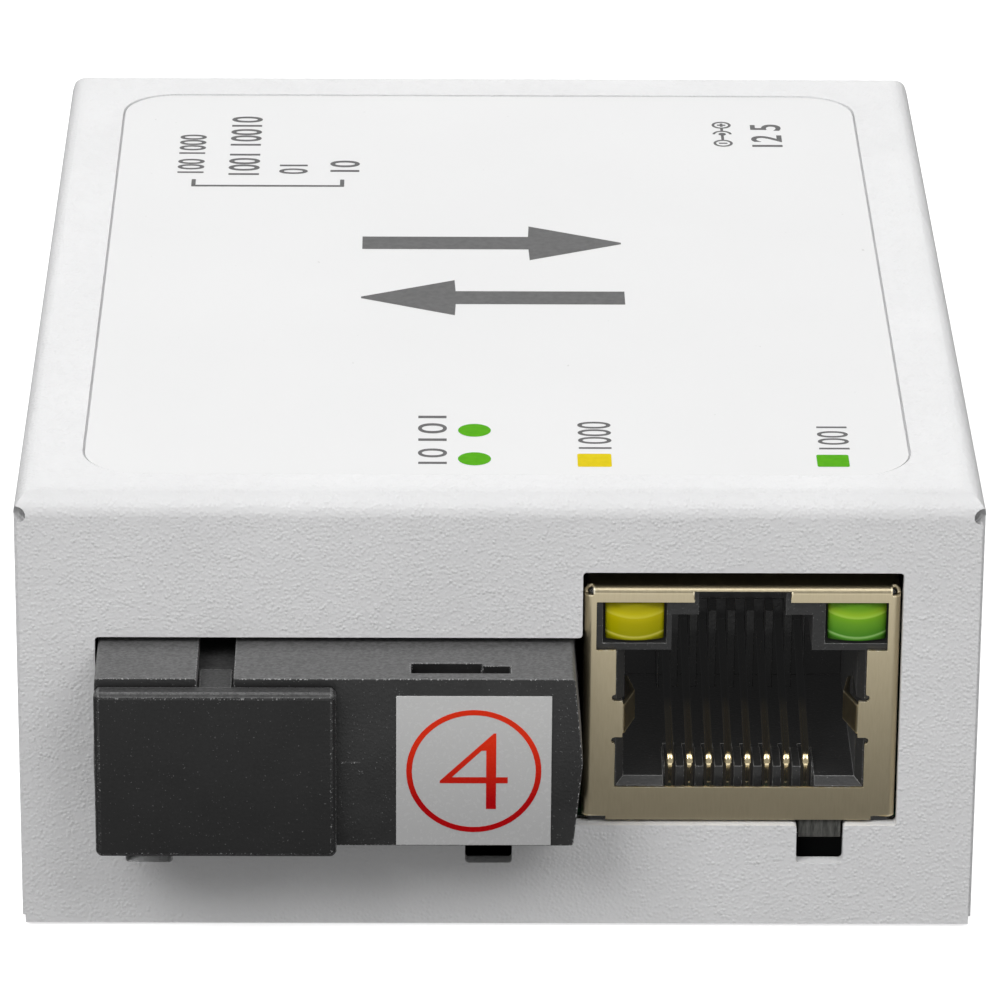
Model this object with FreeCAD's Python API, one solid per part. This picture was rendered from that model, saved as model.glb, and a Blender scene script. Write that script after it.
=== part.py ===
"""Fibre media converter: a folded steel case with a network jack and a fibre port.

Frame: X right, Y from the front panel to the rear panel, Z up, seen from the front.
The origin is the centre of the underside, which rests on the desk. Millimetres.
Each function builds one sub-part, and the table at the end names their files.
"""
import FreeCAD
import Part
import math
import os

V = FreeCAD.Vector

# Case: a five-sided folded cover over a tray with two upturned flanges
CASE_HEIGHT = 24.5
COVER_SHEET = 0.8
COVER_BEND = 1.3                # outer radius of the folds
RELIEF_RADIUS = 0.45            # hole where three folds meet
RELIEF_TILT = 0.25              # how far the relief hole's axis rises
SEAM = 0.1                      # slit between a panel and the flange beside it
PANEL_INSET = 0.2               # a panel's edge stops short of the flange's face
BASE_SHEET = 1.0
BASE_FLANGE_HEIGHT = 16.0
BASE_FLANGE_INSET = 1.5         # the flanges stop short of the panels
NESTING_GAP = 0.1               # cover to tray

# Row of ports: what stands between and beside them sets the case's width and depth
LEFT_MARGIN = 4.25              # case side to transceiver
JACK_TO_OPTIC = 0.1             # jack to the transceiver's parting line
RIGHT_MARGIN = 4.25             # jack to case side
BOARD_ROOM = 22.4               # transceiver to the setting switch

# Cover screws, two a side, countersunk through the sheet
COVER_SCREW_RADIUS = 1.25
COVER_SCREW_HEAD_RADIUS = 2.0
COVER_SCREW_CLEAR = 0.15        # point to the jack's side
COVER_SCREW_FROM_PANEL = 12.0
COVER_SCREW_Z = 12.0
SCREW_RECESS_DEPTH = 0.6
SCREW_RECESS_WIDTH = 0.45
SCREW_RECESS_REACH = 1.15
THREAD_CLEARANCE = 0.03
HOLE_CLEARANCE = 0.15
OVERRUN = 1.0                   # how far a cut runs past what it cuts

# Overlay label in its pressed recess
LABEL_SIDE_MARGIN = 3.575
LABEL_FRONT_MARGIN = 2.9
LABEL_REAR_MARGIN = 4.0
LABEL_THICKNESS = 0.2
LABEL_CORNER = 3.0
LABEL_X = -0.12
RECESS_DEPTH = 0.25
RECESS_MARGIN = 0.12
WINDOW_OFFSET = -1.17           # the two lamp windows, beside the label's middle
WINDOW_FRONT = 4.95
WINDOW_PITCH = 3.82
WINDOW_RADIUS = 0.9

# Front cut-out, one stepped opening with three notches for the board's tabs
JACK_CUT_MARGIN = 0.1
JACK_CUT_HEADROOM = 0.95
OPTIC_CUT_MARGIN = 0.15
OPTIC_CUT_HEADROOM = 0.35
CUT_BELOW_BOARD_TOP = 0.1
NOTCH_DROP = 1.3                # below the board
NOTCH_WIDTH = 2.45
CUT_CORNER = 0.2                # radius in the opening's corners
NOTCH_FROM_OPTIC_LEFT = 2.5
NOTCH_FROM_OPTIC_RIGHT = 4.335
NOTCH_FROM_JACK_MIDDLE = 4.29

# Circuit board on four standoffs
STANDOFF_HEIGHT = 3.85
STANDOFF_RADIUS = 2.35          # to the corners of the hexagon
STANDOFF_SPIGOT_RADIUS = 2.0
BOARD_THICKNESS = 1.0
BOARD_CORNER = 0.8
BOARD_GAP = 0.2                 # to the tray's flanges and the panels
TAB_WIDTH = 2.2
TAB_SETBACK = 0.5               # behind the front face
BOARD_SCREW_RADIUS = 1.25
BOARD_SCREW_HEAD_RADIUS = 2.2
BOARD_SCREW_HEAD_TAPER = 0.5
BOARD_SCREW_HEAD_HEIGHT = 1.5
BOARD_SCREW_LENGTH = 3.6
BOARD_SCREW_FROM_EDGE = 2.7
BOARD_SCREW_FROM_OPTIC = 3.5
BOARD_SCREW_FROM_SWITCH = 3.6
BOARD_SCREW_FROM_JACK = 4.5
BOARD_SCREW_FROM_REAR = 19.0
PIN_TAIL = 1.6                  # how far pins stand out below the board
STUD_TAIL = 1.0

# Network jack, heights taken from the board's top
PLUG_WIDTH = 12.1
PLUG_HEIGHT = 7.4
PLUG_FLOOR = 2.35
PLUG_DEPTH = 13.0
SHOULDER_WIDTH = 7.3
SHOULDER_HEIGHT = 2.0
LATCH_WIDTH = 4.5
JACK_SIDE = 2.125               # plug opening to the shield's outside
JACK_ROOF = 1.65                # shoulder to the shield's top
JACK_REAR = 8.0                 # plug opening's end to the shield's rear
JACK_SETBACK = 0.3              # behind the front face
JACK_CORNER = 0.4
CORNER_NOTCH = 0.45             # cut where three folds of the shield meet
SHIELD_SHEET = 0.2
SHIELD_GAP = 0.05               # shield to housing
SHIELD_LIFT = 0.1
SHIELD_STEP = 0.3               # the front's outer corners end higher than its middle
SHIELD_TAB_WIDTH = 1.8
SHIELD_TAB_BACK = 10.5
SHIELD_WINDOW_MARGIN = 0.47     # round the plug opening
LAMP_WINDOW_SIDE = 0.625        # lamp window to the shield's outside
LAMP_WINDOW_LIFT = 0.05         # above the plug opening
LAMP_WINDOW_ROOF = 0.85         # below the shield's top
LATCH_NOTCH_WIDTH = 5.0
LATCH_NOTCH_ROOF = 0.25
NUB_WIDTH = 0.38                # root of a side spring, standing into the window
NUB_LIFT = 2.5                  # above the plug opening's floor
NUB_HEIGHT = 2.05
NUB_RELIEF = 0.2
FINGER_REACH = 0.6
FINGER_LENGTH = 3.6
FINGER_ROOM = 0.45              # recess in the housing behind each finger
MOUTH_CHAMFER = 0.4
COMB_WIDTH = 7.9
COMB_SETBACK = 0.9
COMB_LIFT = 0.3
COMB_LENGTH = 2.4
REAR_COMB_LENGTH = 1.6
REAR_COMB_RISE = 1.6            # above the contacts' tips
LOCATING_PEG_RADIUS = 1.55
LOCATING_PEG_SPACING = 11.4
LOCATING_PEG_BACK = 13.6
HOUSING_END_SPACE = 0.8         # for the lamps' leads, inside the shield

# Spring contacts of the jack
CONTACT_COUNT = 8
CONTACT_PITCH = 1.016
CONTACT_WIDTH = 0.4
CONTACT_THICKNESS = 0.3
CONTACT_SLOT = 0.58
CONTACT_RUN = 1.15              # height of the lower run above the board
CONTACT_KNEE = 0.9              # half the knee's height
CONTACT_BEND = 0.6
CONTACT_BACK = 1.6              # the knee's front, behind the jack's face
CONTACT_RISE = 2.9
CONTACT_TIP_GAP = 0.7           # tip to the plug opening's end
CONTACT_ROW_BEHIND = 2.2        # first row of tails, behind the plug opening
CONTACT_ROW_PITCH = 2.54

# Lamps of the jack
LAMP_WIDTH = 3.07
LAMP_LENGTH = 5.6
LAMP_FROM_SIDE = 2.415          # lamp's middle to the shield's outside, before the shift
LAMP_SHIFT = 0.2                # both lamps sit to the right in their windows
LAMP_LIFT = 0.5                 # above the plug opening
LAMP_TO_WINDOW = 0.1
LAMP_SETBACK = 0.55             # edge of the lamp's face, behind the jack's face
LAMP_BULGE = 0.35
LAMP_POCKET_GAP = 0.12
LEAD_SIZE = 0.4
LEAD_SPACING = 1.27

# Optical transceiver, nine pins in a row across its tail
OPTIC_PIN_COUNT = 9
OPTIC_PIN_PITCH = 2.54
OPTIC_PIN_INSET = 2.14          # outer pins to the sides
OPTIC_PIN_RADIUS = 0.25
OPTIC_PIN_FROM_END = 5.0
OPTIC_STUD_RADIUS = 0.95
OPTIC_STUD_BEHIND = 6.3         # behind the socket
OPTIC_LENGTH = 39.0
OPTIC_LIFT = 0.8                # underside above the board
OPTIC_REACH = 4.3               # out of the front panel
OPTIC_DRAFT_LEFT = 0.1
OPTIC_DRAFT_RIGHT = 0.45
OPTIC_PARTING = 4.7             # height of the parting line above the underside
OPTIC_WALL = 1.0
OPTIC_EDGE = 0.2
OPTIC_FLOOR_THICKNESS = 0.8
OPTIC_FOOT = 2.0
OPTIC_FOOT_INSET = 2.5
MOULD_SLOT_LENGTH = 5.1
MOULD_SLOT_WIDTH = 1.2
MOULD_SLOT_STEP = 1.45
MOULD_SLOT_FROM_RIGHT = 3.295
MOULD_SLOT_SETBACK = 0.75

# Fibre socket in the transceiver
SOCKET_WIDTH = 9.1
SOCKET_HEIGHT = 7.5
SOCKET_DEPTH = 15.0
SOCKET_SIDE = 1.625             # wall between the socket and the transceiver's side
SOCKET_SILL = 1.0               # wall above and below the socket
KEYWAY_WIDTH = 1.9
KEYWAY_LENGTH = 8.0
SLEEVE_RADIUS = 2.1
SLEEVE_BORE = 1.25
SLEEVE_LENGTH = 8.5
BARREL_RADIUS = 2.8
BARREL_FLANGE_RADIUS = 3.3
BARREL_FLANGE_THICKNESS = 1.2
BARREL_LENGTH = 15.5
SIDE_CAN_RADIUS = 2.3
SIDE_CAN_REACH = 8.5
SIDE_CAN_BACK = 7.0
LATCH_ARM_LENGTH = 7.4
LATCH_ARM_THICKNESS = 0.6
LATCH_ARM_HEIGHT = 3.0
LATCH_HOOK = 0.45
LATCH_PLATE = 0.8

# Dust cap
CAP_SIDE = 1.65                 # flange beyond the socket
CAP_ABOVE = 0.55
CAP_BELOW = 1.25
CAP_THICKNESS = 0.95
CAP_EDGE = 0.22
CAP_CLEARANCE = 0.1             # plug to socket, each side
CAP_SEAT = 0.05                 # flange to the transceiver's face
CAP_PLUG_LENGTH = 9.0
CAP_PLUG_FLOOR = 1.0            # closed end behind the flange
CAP_KEY_LENGTH = 2.5
CAP_KEY_HEIGHT = 0.5
CAP_BORE_CLEARANCE = 0.3
CAP_GROOVE_CLEARANCE = 0.2

# Sticker on the transceiver's face
STICKER_WIDTH = 7.98
STICKER_THICKNESS = 0.1
STICKER_FROM_RIGHT = 1.175
STICKER_FROM_TOP = 0.95
STICKER_FROM_UNDERSIDE = 0.1

# Setting switch at the rear
DIP_FROM_SIDE = 6.22
DIP_WAY_COUNT = 4
DIP_PITCH = 2.54
DIP_END = 0.8                   # body beyond the outer ways
DIP_HEIGHT = 6.8
DIP_DEPTH = 6.6
DIP_FACE = 0.9
DIP_SETBACK = 0.3
DIP_SLOT_WIDTH = 1.35
DIP_SLOT_HEIGHT = 3.6
DIP_SLOT_FLOOR = 1.7            # above the board
DIP_RUNNING_GAP = 0.08
DIP_KNOB_HEIGHT = 1.5
DIP_SHOE_WIDTH = 1.9
DIP_SHOE_HEIGHT = 2.1
DIP_SHOE_THICKNESS = 1.2
DIP_CUT_MARGIN = 0.25
DIP_PIN_FROM_INNER_END = 1.6
DIP_PIN_ROW_PITCH = 2.54
DIP_PIN_SIZE = 0.5
DIP_PIN_BITE = 1.0              # pins run this far up into the body

# Power inlet at the rear
DC_FROM_SIDE = 5.6
DC_WIDTH = 9.0
DC_HEIGHT = 11.0
DC_DEPTH = 14.0
DC_SETBACK = 0.3
DC_AXIS_HEIGHT = 6.5            # above the board
DC_BORE_RADIUS = 3.2
DC_BORE_DEPTH = 10.0
DC_PIN_RADIUS = 1.0
DC_PIN_LENGTH = 9.0
DC_PIN_TIP = 0.6
DC_CUT_MARGIN = 0.25
DC_CORNER = 1.0
DC_TAG = 0.5
DC_TAG_WIDTH = 1.8
DC_TAG_ROOM = 0.2
DC_SPRING_END = 2.2             # from the inlet's mouth
DC_SPRING_RISE = 0.45
DC_SPRING_THICKNESS = 0.3

# Two-arm light guide from the board's lamps to the windows
GUIDE_WIDTH = 1.6
GUIDE_LOW = 1.35                # lower arm's middle above the transceiver
GUIDE_STEP = 2.4                # upper arm above the lower one
GUIDE_LAMP_BACK = 3.4           # first lamp behind the transceiver
GUIDE_LAMP_PITCH = 4.0
GUIDE_LAMP_GAP = 0.3
GUIDE_HOLE_GAP = 0.1
GUIDE_WEB_INSET = 5.0           # from the rear window and from the transceiver's end
STATUS_LED_WIDTH = 1.6
STATUS_LED_DEPTH = 0.8
STATUS_LED_HEIGHT = 0.7

# Parts on the board
PACKAGE_LIFT = 0.1
PACKAGE_DRAFT = 0.18
CHIP_X = 2.5
CHIP_FROM_REAR = 12.4
CHIP_SIZE = 7.0
CHIP_HEIGHT = 1.0
MEMORY_GAP = 0.8                # to the setting switch
MEMORY_FROM_REAR = 4.7
MEMORY_WIDTH = 4.9
MEMORY_DEPTH = 3.9
MEMORY_HEIGHT = 1.5
MEMORY_LEAD_COUNT = 4
LEAD_PITCH = 1.27
LEAD_THICKNESS = 0.15
LEAD_WIDTH = 0.42
LEAD_REACH = 1.1
TRANSFORMER_GAP = 0.5           # to the transceiver
TRANSFORMER_BEHIND_JACK = 7.1
TRANSFORMER_WIDTH = 12.6
TRANSFORMER_DEPTH = 7.0
TRANSFORMER_HEIGHT = 5.6
TRANSFORMER_LEAD_COUNT = 8
TRANSFORMER_LIFT = 0.2
TRANSFORMER_EDGE = 0.3
CRYSTAL_BEHIND_TRANSFORMER = 11.2
CRYSTAL_WIDTH = 5.0
CRYSTAL_DEPTH = 3.2
CRYSTAL_HEIGHT = 1.2
CRYSTAL_CORNER = 0.4
REGULATOR_FROM_SIDE = 6.4
REGULATOR_BEHIND_TRANSFORMER = 8.0
REGULATOR_WIDTH = 3.5
REGULATOR_DEPTH = 6.5
REGULATOR_HEIGHT = 1.6
REGULATOR_LEAD_COUNT = 3
REGULATOR_LEAD_PITCH = 2.3
REGULATOR_LEAD_WIDTH = 0.7
REGULATOR_TAB_WIDTH = 3.0
REGULATOR_REACH = 1.4
COIL_FROM_SIDE = 12.4
COIL_BEHIND_OPTIC = 5.2
COIL_SIZE = 6.0
COIL_HEIGHT = 3.0
COIL_CORNER = 1.2
COIL_CORE_RADIUS = 2.3
COIL_TRENCH_WIDTH = 0.35
COIL_TRENCH_DEPTH = 0.8
CAPACITOR_TO_SWITCH = 7.9
CAPACITOR_TO_INLET = 1.0
CAPACITOR_FROM_REAR = 4.7
CAPACITOR_RADIUS = 3.15
CAPACITOR_HEIGHT = 5.4
CAPACITOR_EDGE = 0.4
CAPACITOR_BASE = 6.6
CAPACITOR_BASE_HEIGHT = 0.8
CHIP_PART_WIDTH = 0.8
CHIP_PART_DEPTH = 1.6
CHIP_PART_HEIGHT = 0.5
CHIP_PART_PITCH = 2.0
CHIP_PART_COUNT = 4             # a column
CHIP_PART_GAP = 1.6             # to the converter chip

# Sizes and planes worked out from those above
JACK_WIDTH = PLUG_WIDTH + 2 * JACK_SIDE
JACK_DEPTH = PLUG_DEPTH + JACK_REAR
PLUG_TOP = PLUG_FLOOR + PLUG_HEIGHT
SHOULDER_TOP = PLUG_TOP + SHOULDER_HEIGHT
JACK_HEIGHT = SHOULDER_TOP + JACK_ROOF
OPTIC_WIDTH = (OPTIC_PIN_COUNT - 1) * OPTIC_PIN_PITCH + 2 * OPTIC_PIN_INSET
OPTIC_HEIGHT = SOCKET_HEIGHT + 2 * SOCKET_SILL
CASE_WIDTH = LEFT_MARGIN + OPTIC_WIDTH + OPTIC_DRAFT_RIGHT + JACK_TO_OPTIC + JACK_WIDTH + RIGHT_MARGIN
CASE_DEPTH = OPTIC_LENGTH - OPTIC_REACH + BOARD_ROOM + DIP_DEPTH + DIP_SETBACK
FRONT = -CASE_DEPTH / 2
REAR = CASE_DEPTH / 2
SIDE = CASE_WIDTH / 2
TRAY_HALF = SIDE - COVER_SHEET - NESTING_GAP            # outer face of the tray's flange
BOARD_HALF = TRAY_HALF - BASE_SHEET - BOARD_GAP
BOARD_UNDER = BASE_SHEET + STANDOFF_HEIGHT
BOARD_TOP = BOARD_UNDER + BOARD_THICKNESS
TAIL_END = BOARD_UNDER - PIN_TAIL
STUD_END = BOARD_UNDER - STUD_TAIL
JACK_X = SIDE - RIGHT_MARGIN - JACK_WIDTH / 2
JACK_FACE = FRONT + JACK_SETBACK
JACK_END = JACK_FACE + JACK_DEPTH
HOUSING_FACE = JACK_FACE + SHIELD_SHEET + SHIELD_GAP
HOUSING_END = JACK_END - SHIELD_SHEET - HOUSING_END_SPACE
SHIELD_WINDOW_WIDTH = PLUG_WIDTH + 2 * SHIELD_WINDOW_MARGIN
LAMP_WINDOW_WIDTH = JACK_WIDTH - 2 * LAMP_WINDOW_SIDE
LAMP_WINDOW_TOP = JACK_HEIGHT - LAMP_WINDOW_ROOF
NUB_FLOOR = PLUG_FLOOR + NUB_LIFT
NUB_TOP = NUB_FLOOR + NUB_HEIGHT
LAMP_OFFSET = JACK_WIDTH / 2 - LAMP_FROM_SIDE
LAMP_FLOOR = PLUG_TOP + LAMP_LIFT
LAMP_TOP = LAMP_WINDOW_TOP - LAMP_TO_WINDOW
OPTIC_LEFT = -SIDE + LEFT_MARGIN
OPTIC_RIGHT = OPTIC_LEFT + OPTIC_WIDTH
OPTIC_FACE = FRONT - OPTIC_REACH
OPTIC_END = OPTIC_FACE + OPTIC_LENGTH
OPTIC_UNDER = BOARD_TOP + OPTIC_LIFT
OPTIC_TOP = OPTIC_UNDER + OPTIC_HEIGHT
SOCKET_X = OPTIC_LEFT + SOCKET_SIDE + SOCKET_WIDTH / 2
SOCKET_Z = OPTIC_UNDER + OPTIC_HEIGHT / 2
SOCKET_END = OPTIC_FACE + SOCKET_DEPTH
DIP_WIDTH = DIP_WAY_COUNT * DIP_PITCH + 2 * DIP_END
DIP_X = -SIDE + DIP_FROM_SIDE + DIP_WIDTH / 2
DIP_OUTER = REAR - DIP_SETBACK
DIP_INNER = DIP_OUTER - DIP_DEPTH
DC_X = SIDE - DC_FROM_SIDE - DC_WIDTH / 2
DC_OUTER = REAR - DC_SETBACK
DC_INNER = DC_OUTER - DC_DEPTH
DC_AXIS = BOARD_TOP + DC_AXIS_HEIGHT
LABEL_WIDTH = CASE_WIDTH - 2 * LABEL_SIDE_MARGIN
LABEL_YS = (FRONT + LABEL_FRONT_MARGIN, REAR - LABEL_REAR_MARGIN)
WINDOW_X = LABEL_X + WINDOW_OFFSET
WINDOW_YS = (FRONT + WINDOW_FRONT, FRONT + WINDOW_FRONT + WINDOW_PITCH)
CEILING = CASE_HEIGHT - COVER_SHEET - RECESS_DEPTH      # underside of the pressed recess
COVER_SCREW_LENGTH = min(LEFT_MARGIN - OPTIC_DRAFT_LEFT, RIGHT_MARGIN) - COVER_SCREW_CLEAR
NOTCH_XS = (OPTIC_LEFT + NOTCH_FROM_OPTIC_LEFT, OPTIC_RIGHT - NOTCH_FROM_OPTIC_RIGHT,
            JACK_X + NOTCH_FROM_JACK_MIDDLE)
TRANSFORMER_X = OPTIC_RIGHT + OPTIC_DRAFT_RIGHT + TRANSFORMER_GAP + TRANSFORMER_WIDTH / 2
TRANSFORMER_Y = JACK_END + TRANSFORMER_BEHIND_JACK
CHIP_Y = REAR - CHIP_FROM_REAR
MEMORY_X = DIP_X + DIP_WIDTH / 2 + MEMORY_GAP + MEMORY_WIDTH / 2
MEMORY_Y = REAR - MEMORY_FROM_REAR
REGULATOR_X = SIDE - REGULATOR_FROM_SIDE
REGULATOR_Y = TRANSFORMER_Y + REGULATOR_BEHIND_TRANSFORMER


# Shapes used by several sub-parts

def around(centre, width):
    """The two ends of a width laid evenly about its centre."""
    return (centre - width / 2, centre + width / 2)


def block(x, y, z):
    """A box from its (low, high) pair along each axis."""
    return Part.makeBox(x[1] - x[0], y[1] - y[0], z[1] - z[0], V(x[0], y[0], z[0]))


def rod(radius, start, end):
    """A round bar between two points."""
    run = end - start
    return Part.makeCylinder(radius, run.Length, start, run)


def prism(corners, sweep):
    """A solid from a closed outline of points, swept along a vector."""
    return Part.Face(Part.makePolygon(corners + [corners[0]])).extrude(sweep)


def sided_bar(sides, radius, start, end):
    """A bar with flat sides between two points, its radius taken to the corners."""
    turn = FreeCAD.Rotation(V(0, 0, 1), end - start)
    step = 2 * math.pi / sides
    corners = [V(radius * math.cos(step * i), radius * math.sin(step * i), 0) for i in range(sides)]
    return prism([start + turn.multVec(corner) for corner in corners], end - start)


def pin(radius, start, end):
    """A pin, thread or drilled hole, drawn with eight flats where nobody looks closely."""
    return sided_bar(8, radius, start, end)


def edges_along(shape, axis):
    """The straight edges that run along an axis."""
    found = []
    for edge in shape.Edges:
        run = edge.lastVertex().Point - edge.firstVertex().Point
        if abs(edge.Length - abs(run.dot(axis))) < 1e-4 and edge.Length > 1e-3:
            found.append(edge)
    return found


def slab(x, y, z, corner):
    """A flat box whose four upright edges are rounded."""
    plain = block(x, y, z)
    return plain.makeFillet(corner, edges_along(plain, V(0, 0, 1)))


def strip(path, bends, thickness, to_space, sweep):
    """A bent strip of even thickness.

    path is a list of flat points and bends has the bend radius at each of its
    corners, 0 for a sharp one. to_space turns a flat point into a point in space,
    and sweep is the vector across the strip's width.
    """
    flat = [V(a, b, 0) for a, b in path]
    steps = [(end - start).normalize() for start, end in zip(flat, flat[1:])]
    normals = [V(-step.y, step.x, 0) for step in steps]
    edges = []
    ends = []
    for side in (thickness / 2, -thickness / 2):
        start = flat[0] + normals[0] * side
        ends.append(start)
        for i, bend in enumerate(bends):
            if bend == 0:
                mitre = side / (1 + normals[i].dot(normals[i + 1]))
                corner = flat[i + 1] + (normals[i] + normals[i + 1]) * mitre
                edges.append(Part.LineSegment(to_space(start), to_space(corner)).toShape())
                start = corner
                continue
            toward = 1 if steps[i].cross(steps[i + 1]).z > 0 else -1
            back = bend * math.tan(steps[i].getAngle(steps[i + 1]) / 2)
            centre = flat[i + 1] - steps[i] * back + normals[i] * (bend * toward)
            entry = flat[i + 1] - steps[i] * back + normals[i] * side
            leave = flat[i + 1] + steps[i + 1] * back + normals[i + 1] * side
            outward = (entry + leave - centre * 2).normalize()
            middle = centre + outward * (bend - toward * side)
            edges.append(Part.LineSegment(to_space(start), to_space(entry)).toShape())
            edges.append(Part.Arc(to_space(entry), to_space(middle), to_space(leave)).toShape())
            start = leave
        stop = flat[-1] + normals[-1] * side
        ends.append(stop)
        edges.append(Part.LineSegment(to_space(start), to_space(stop)).toShape())
    edges.append(Part.LineSegment(to_space(ends[0]), to_space(ends[2])).toShape())
    edges.append(Part.LineSegment(to_space(ends[1]), to_space(ends[3])).toShape())
    return Part.Face(Part.Wire(Part.sortEdges(edges)[0])).extrude(sweep)


def strip_upright(x, width, path, bends, thickness):
    """A bent strip whose path lies in an upright plane that runs front to back."""
    return strip(path, bends, thickness, lambda p: V(x - width / 2, p.x, p.y), V(width, 0, 0))


def group(solids):
    """Separate solids that share one file."""
    return Part.makeCompound(solids)


# Case

def cover_openings():
    """Everything punched through the cover's front, rear and top panels."""
    wall = (FRONT - OVERRUN, FRONT + COVER_SHEET + SEAM / 2)
    floor = BOARD_TOP - CUT_BELOW_BOARD_TOP
    jack = around(JACK_X, JACK_WIDTH + 2 * JACK_CUT_MARGIN)
    optic = (OPTIC_LEFT - OPTIC_CUT_MARGIN, jack[0] + COVER_SHEET)
    notches = [block(around(x, NOTCH_WIDTH), wall, (BOARD_UNDER - NOTCH_DROP, BOARD_TOP)) for x in NOTCH_XS]
    front = block(jack, wall, (floor, BOARD_TOP + JACK_HEIGHT + JACK_CUT_HEADROOM))
    front = front.fuse([block(optic, wall, (floor, OPTIC_TOP + OPTIC_CUT_HEADROOM))] + notches)
    front = front.removeSplitter()
    punched = [front.makeFillet(CUT_CORNER, edges_along(front, V(0, 1, 0)))]
    wall = (REAR - COVER_SHEET - SEAM / 2, REAR + OVERRUN)
    dip = block(around(DIP_X, DIP_WIDTH + 2 * DIP_CUT_MARGIN), wall,
                (BOARD_TOP - DIP_CUT_MARGIN, BOARD_TOP + DIP_HEIGHT + DIP_CUT_MARGIN))
    inlet = block(around(DC_X, DC_WIDTH + 2 * DC_CUT_MARGIN), wall,
                  (BOARD_TOP - DC_CUT_MARGIN, BOARD_TOP + DC_HEIGHT + DC_CUT_MARGIN))
    punched += [dip, inlet]
    for y in WINDOW_YS:
        punched.append(rod(WINDOW_RADIUS, V(WINDOW_X, y, CEILING - OVERRUN), V(WINDOW_X, y, CASE_HEIGHT)))
    return punched


def cover_corners():
    """The slits and relief holes that let the flat sheet fold at its four corners."""
    cuts = []
    for sx in (-1, 1):
        for sy in (-1, 1):
            panel = sy * (REAR - COVER_SHEET)
            slit_x = sorted((sx * (SIDE - COVER_SHEET), sx * (SIDE + OVERRUN)))
            slit_y = sorted((panel, panel - sy * SEAM))
            cuts.append(block(slit_x, slit_y, (-OVERRUN, CASE_HEIGHT - COVER_BEND)))
            edge_x = sorted((sx * (SIDE - PANEL_INSET), sx * (SIDE + OVERRUN)))
            edge_y = sorted((panel, sy * (REAR + OVERRUN)))
            cuts.append(block(edge_x, edge_y, (-OVERRUN, CASE_HEIGHT - COVER_BEND)))
            corner = V(sx * (SIDE - COVER_BEND / 2), sy * (REAR - COVER_BEND / 2),
                       CASE_HEIGHT - COVER_BEND)
            out = V(sx, sy, RELIEF_TILT) * COVER_BEND
            cuts.append(rod(RELIEF_RADIUS, corner - out, corner + out * 2))
    return cuts


def side_screw_places():
    y = REAR - COVER_SCREW_FROM_PANEL
    return [(sx, sy * y) for sx in (-1, 1) for sy in (-1, 1)]


def screw_head(x_sign, y, extra):
    """The countersunk head of a side screw, as deep as the cover's sheet."""
    return Part.makeCone(COVER_SCREW_HEAD_RADIUS + extra, COVER_SCREW_RADIUS + extra, COVER_SHEET,
                         V(x_sign * SIDE, y, COVER_SCREW_Z), V(-x_sign, 0, 0))


def screw_shank(x_sign, y, extra):
    """The threaded part of a side screw, from the cover's inner face to its point."""
    return pin(COVER_SCREW_RADIUS + extra, V(x_sign * (SIDE - COVER_SHEET), y, COVER_SCREW_Z),
               V(x_sign * (SIDE - COVER_SCREW_LENGTH), y, COVER_SCREW_Z))


def top_cover():
    """The folded sheet: top, front, rear and both sides in one piece."""
    outer = block((-SIDE, SIDE), (FRONT, REAR), (0, CASE_HEIGHT))
    rim = [edge for edge in outer.Edges if edge.BoundBox.ZMin > CASE_HEIGHT - 0.01]
    outer = outer.makeFillet(COVER_BEND, rim)
    half = SIDE - COVER_SHEET
    inner = block((-half, half), (FRONT + COVER_SHEET, REAR - COVER_SHEET),
                  (-OVERRUN, CASE_HEIGHT - COVER_SHEET))
    rim = [edge for edge in inner.Edges if edge.BoundBox.ZMin > CASE_HEIGHT - COVER_SHEET - 0.01]
    inner = inner.makeFillet(COVER_BEND - COVER_SHEET, rim)
    sheet = outer.cut(inner)
    x = around(LABEL_X, LABEL_WIDTH + 2 * RECESS_MARGIN)
    y = (LABEL_YS[0] - RECESS_MARGIN, LABEL_YS[1] + RECESS_MARGIN)
    corner = LABEL_CORNER + RECESS_MARGIN
    pressed = slab(x, y, (CEILING, CASE_HEIGHT - COVER_SHEET), corner)
    recess = slab(x, y, (CASE_HEIGHT - RECESS_DEPTH, CASE_HEIGHT + OVERRUN), corner)
    sheet = sheet.fuse(pressed).cut(recess)
    sheet = sheet.cut(cover_openings() + cover_corners())
    sinks = [screw_head(sx, y, HOLE_CLEARANCE / 2) for sx, y in side_screw_places()]
    return sheet.cut(sinks).removeSplitter()


def base_plate():
    """The tray: a floor with two upturned flanges, folded with round bends."""
    bend = BASE_SHEET                                   # radius of the bend's middle line
    mid = BASE_SHEET / 2
    edge = TRAY_HALF - mid
    path = [(-edge, BASE_FLANGE_HEIGHT), (-edge, mid), (edge, mid), (edge, BASE_FLANGE_HEIGHT)]
    y = (FRONT + COVER_SHEET + NESTING_GAP, REAR - COVER_SHEET - NESTING_GAP)
    tray = strip(path, (bend, bend), BASE_SHEET, lambda p: V(p.x, y[0], p.y), V(0, y[1] - y[0], 0))
    for end in ((y[0] - OVERRUN, y[0] + BASE_FLANGE_INSET), (y[1] - BASE_FLANGE_INSET, y[1] + OVERRUN)):
        tray = tray.cut(block((-SIDE, SIDE), end, (2 * BASE_SHEET, BASE_FLANGE_HEIGHT + OVERRUN)))
    holes = [screw_shank(sx, y, THREAD_CLEARANCE) for sx, y in side_screw_places()]
    holes += [sided_bar(6, STANDOFF_SPIGOT_RADIUS + THREAD_CLEARANCE, V(x, y, -OVERRUN),
                        V(x, y, 2 * BASE_SHEET)) for x, y in board_screw_places()]
    return tray.cut(holes)


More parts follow.
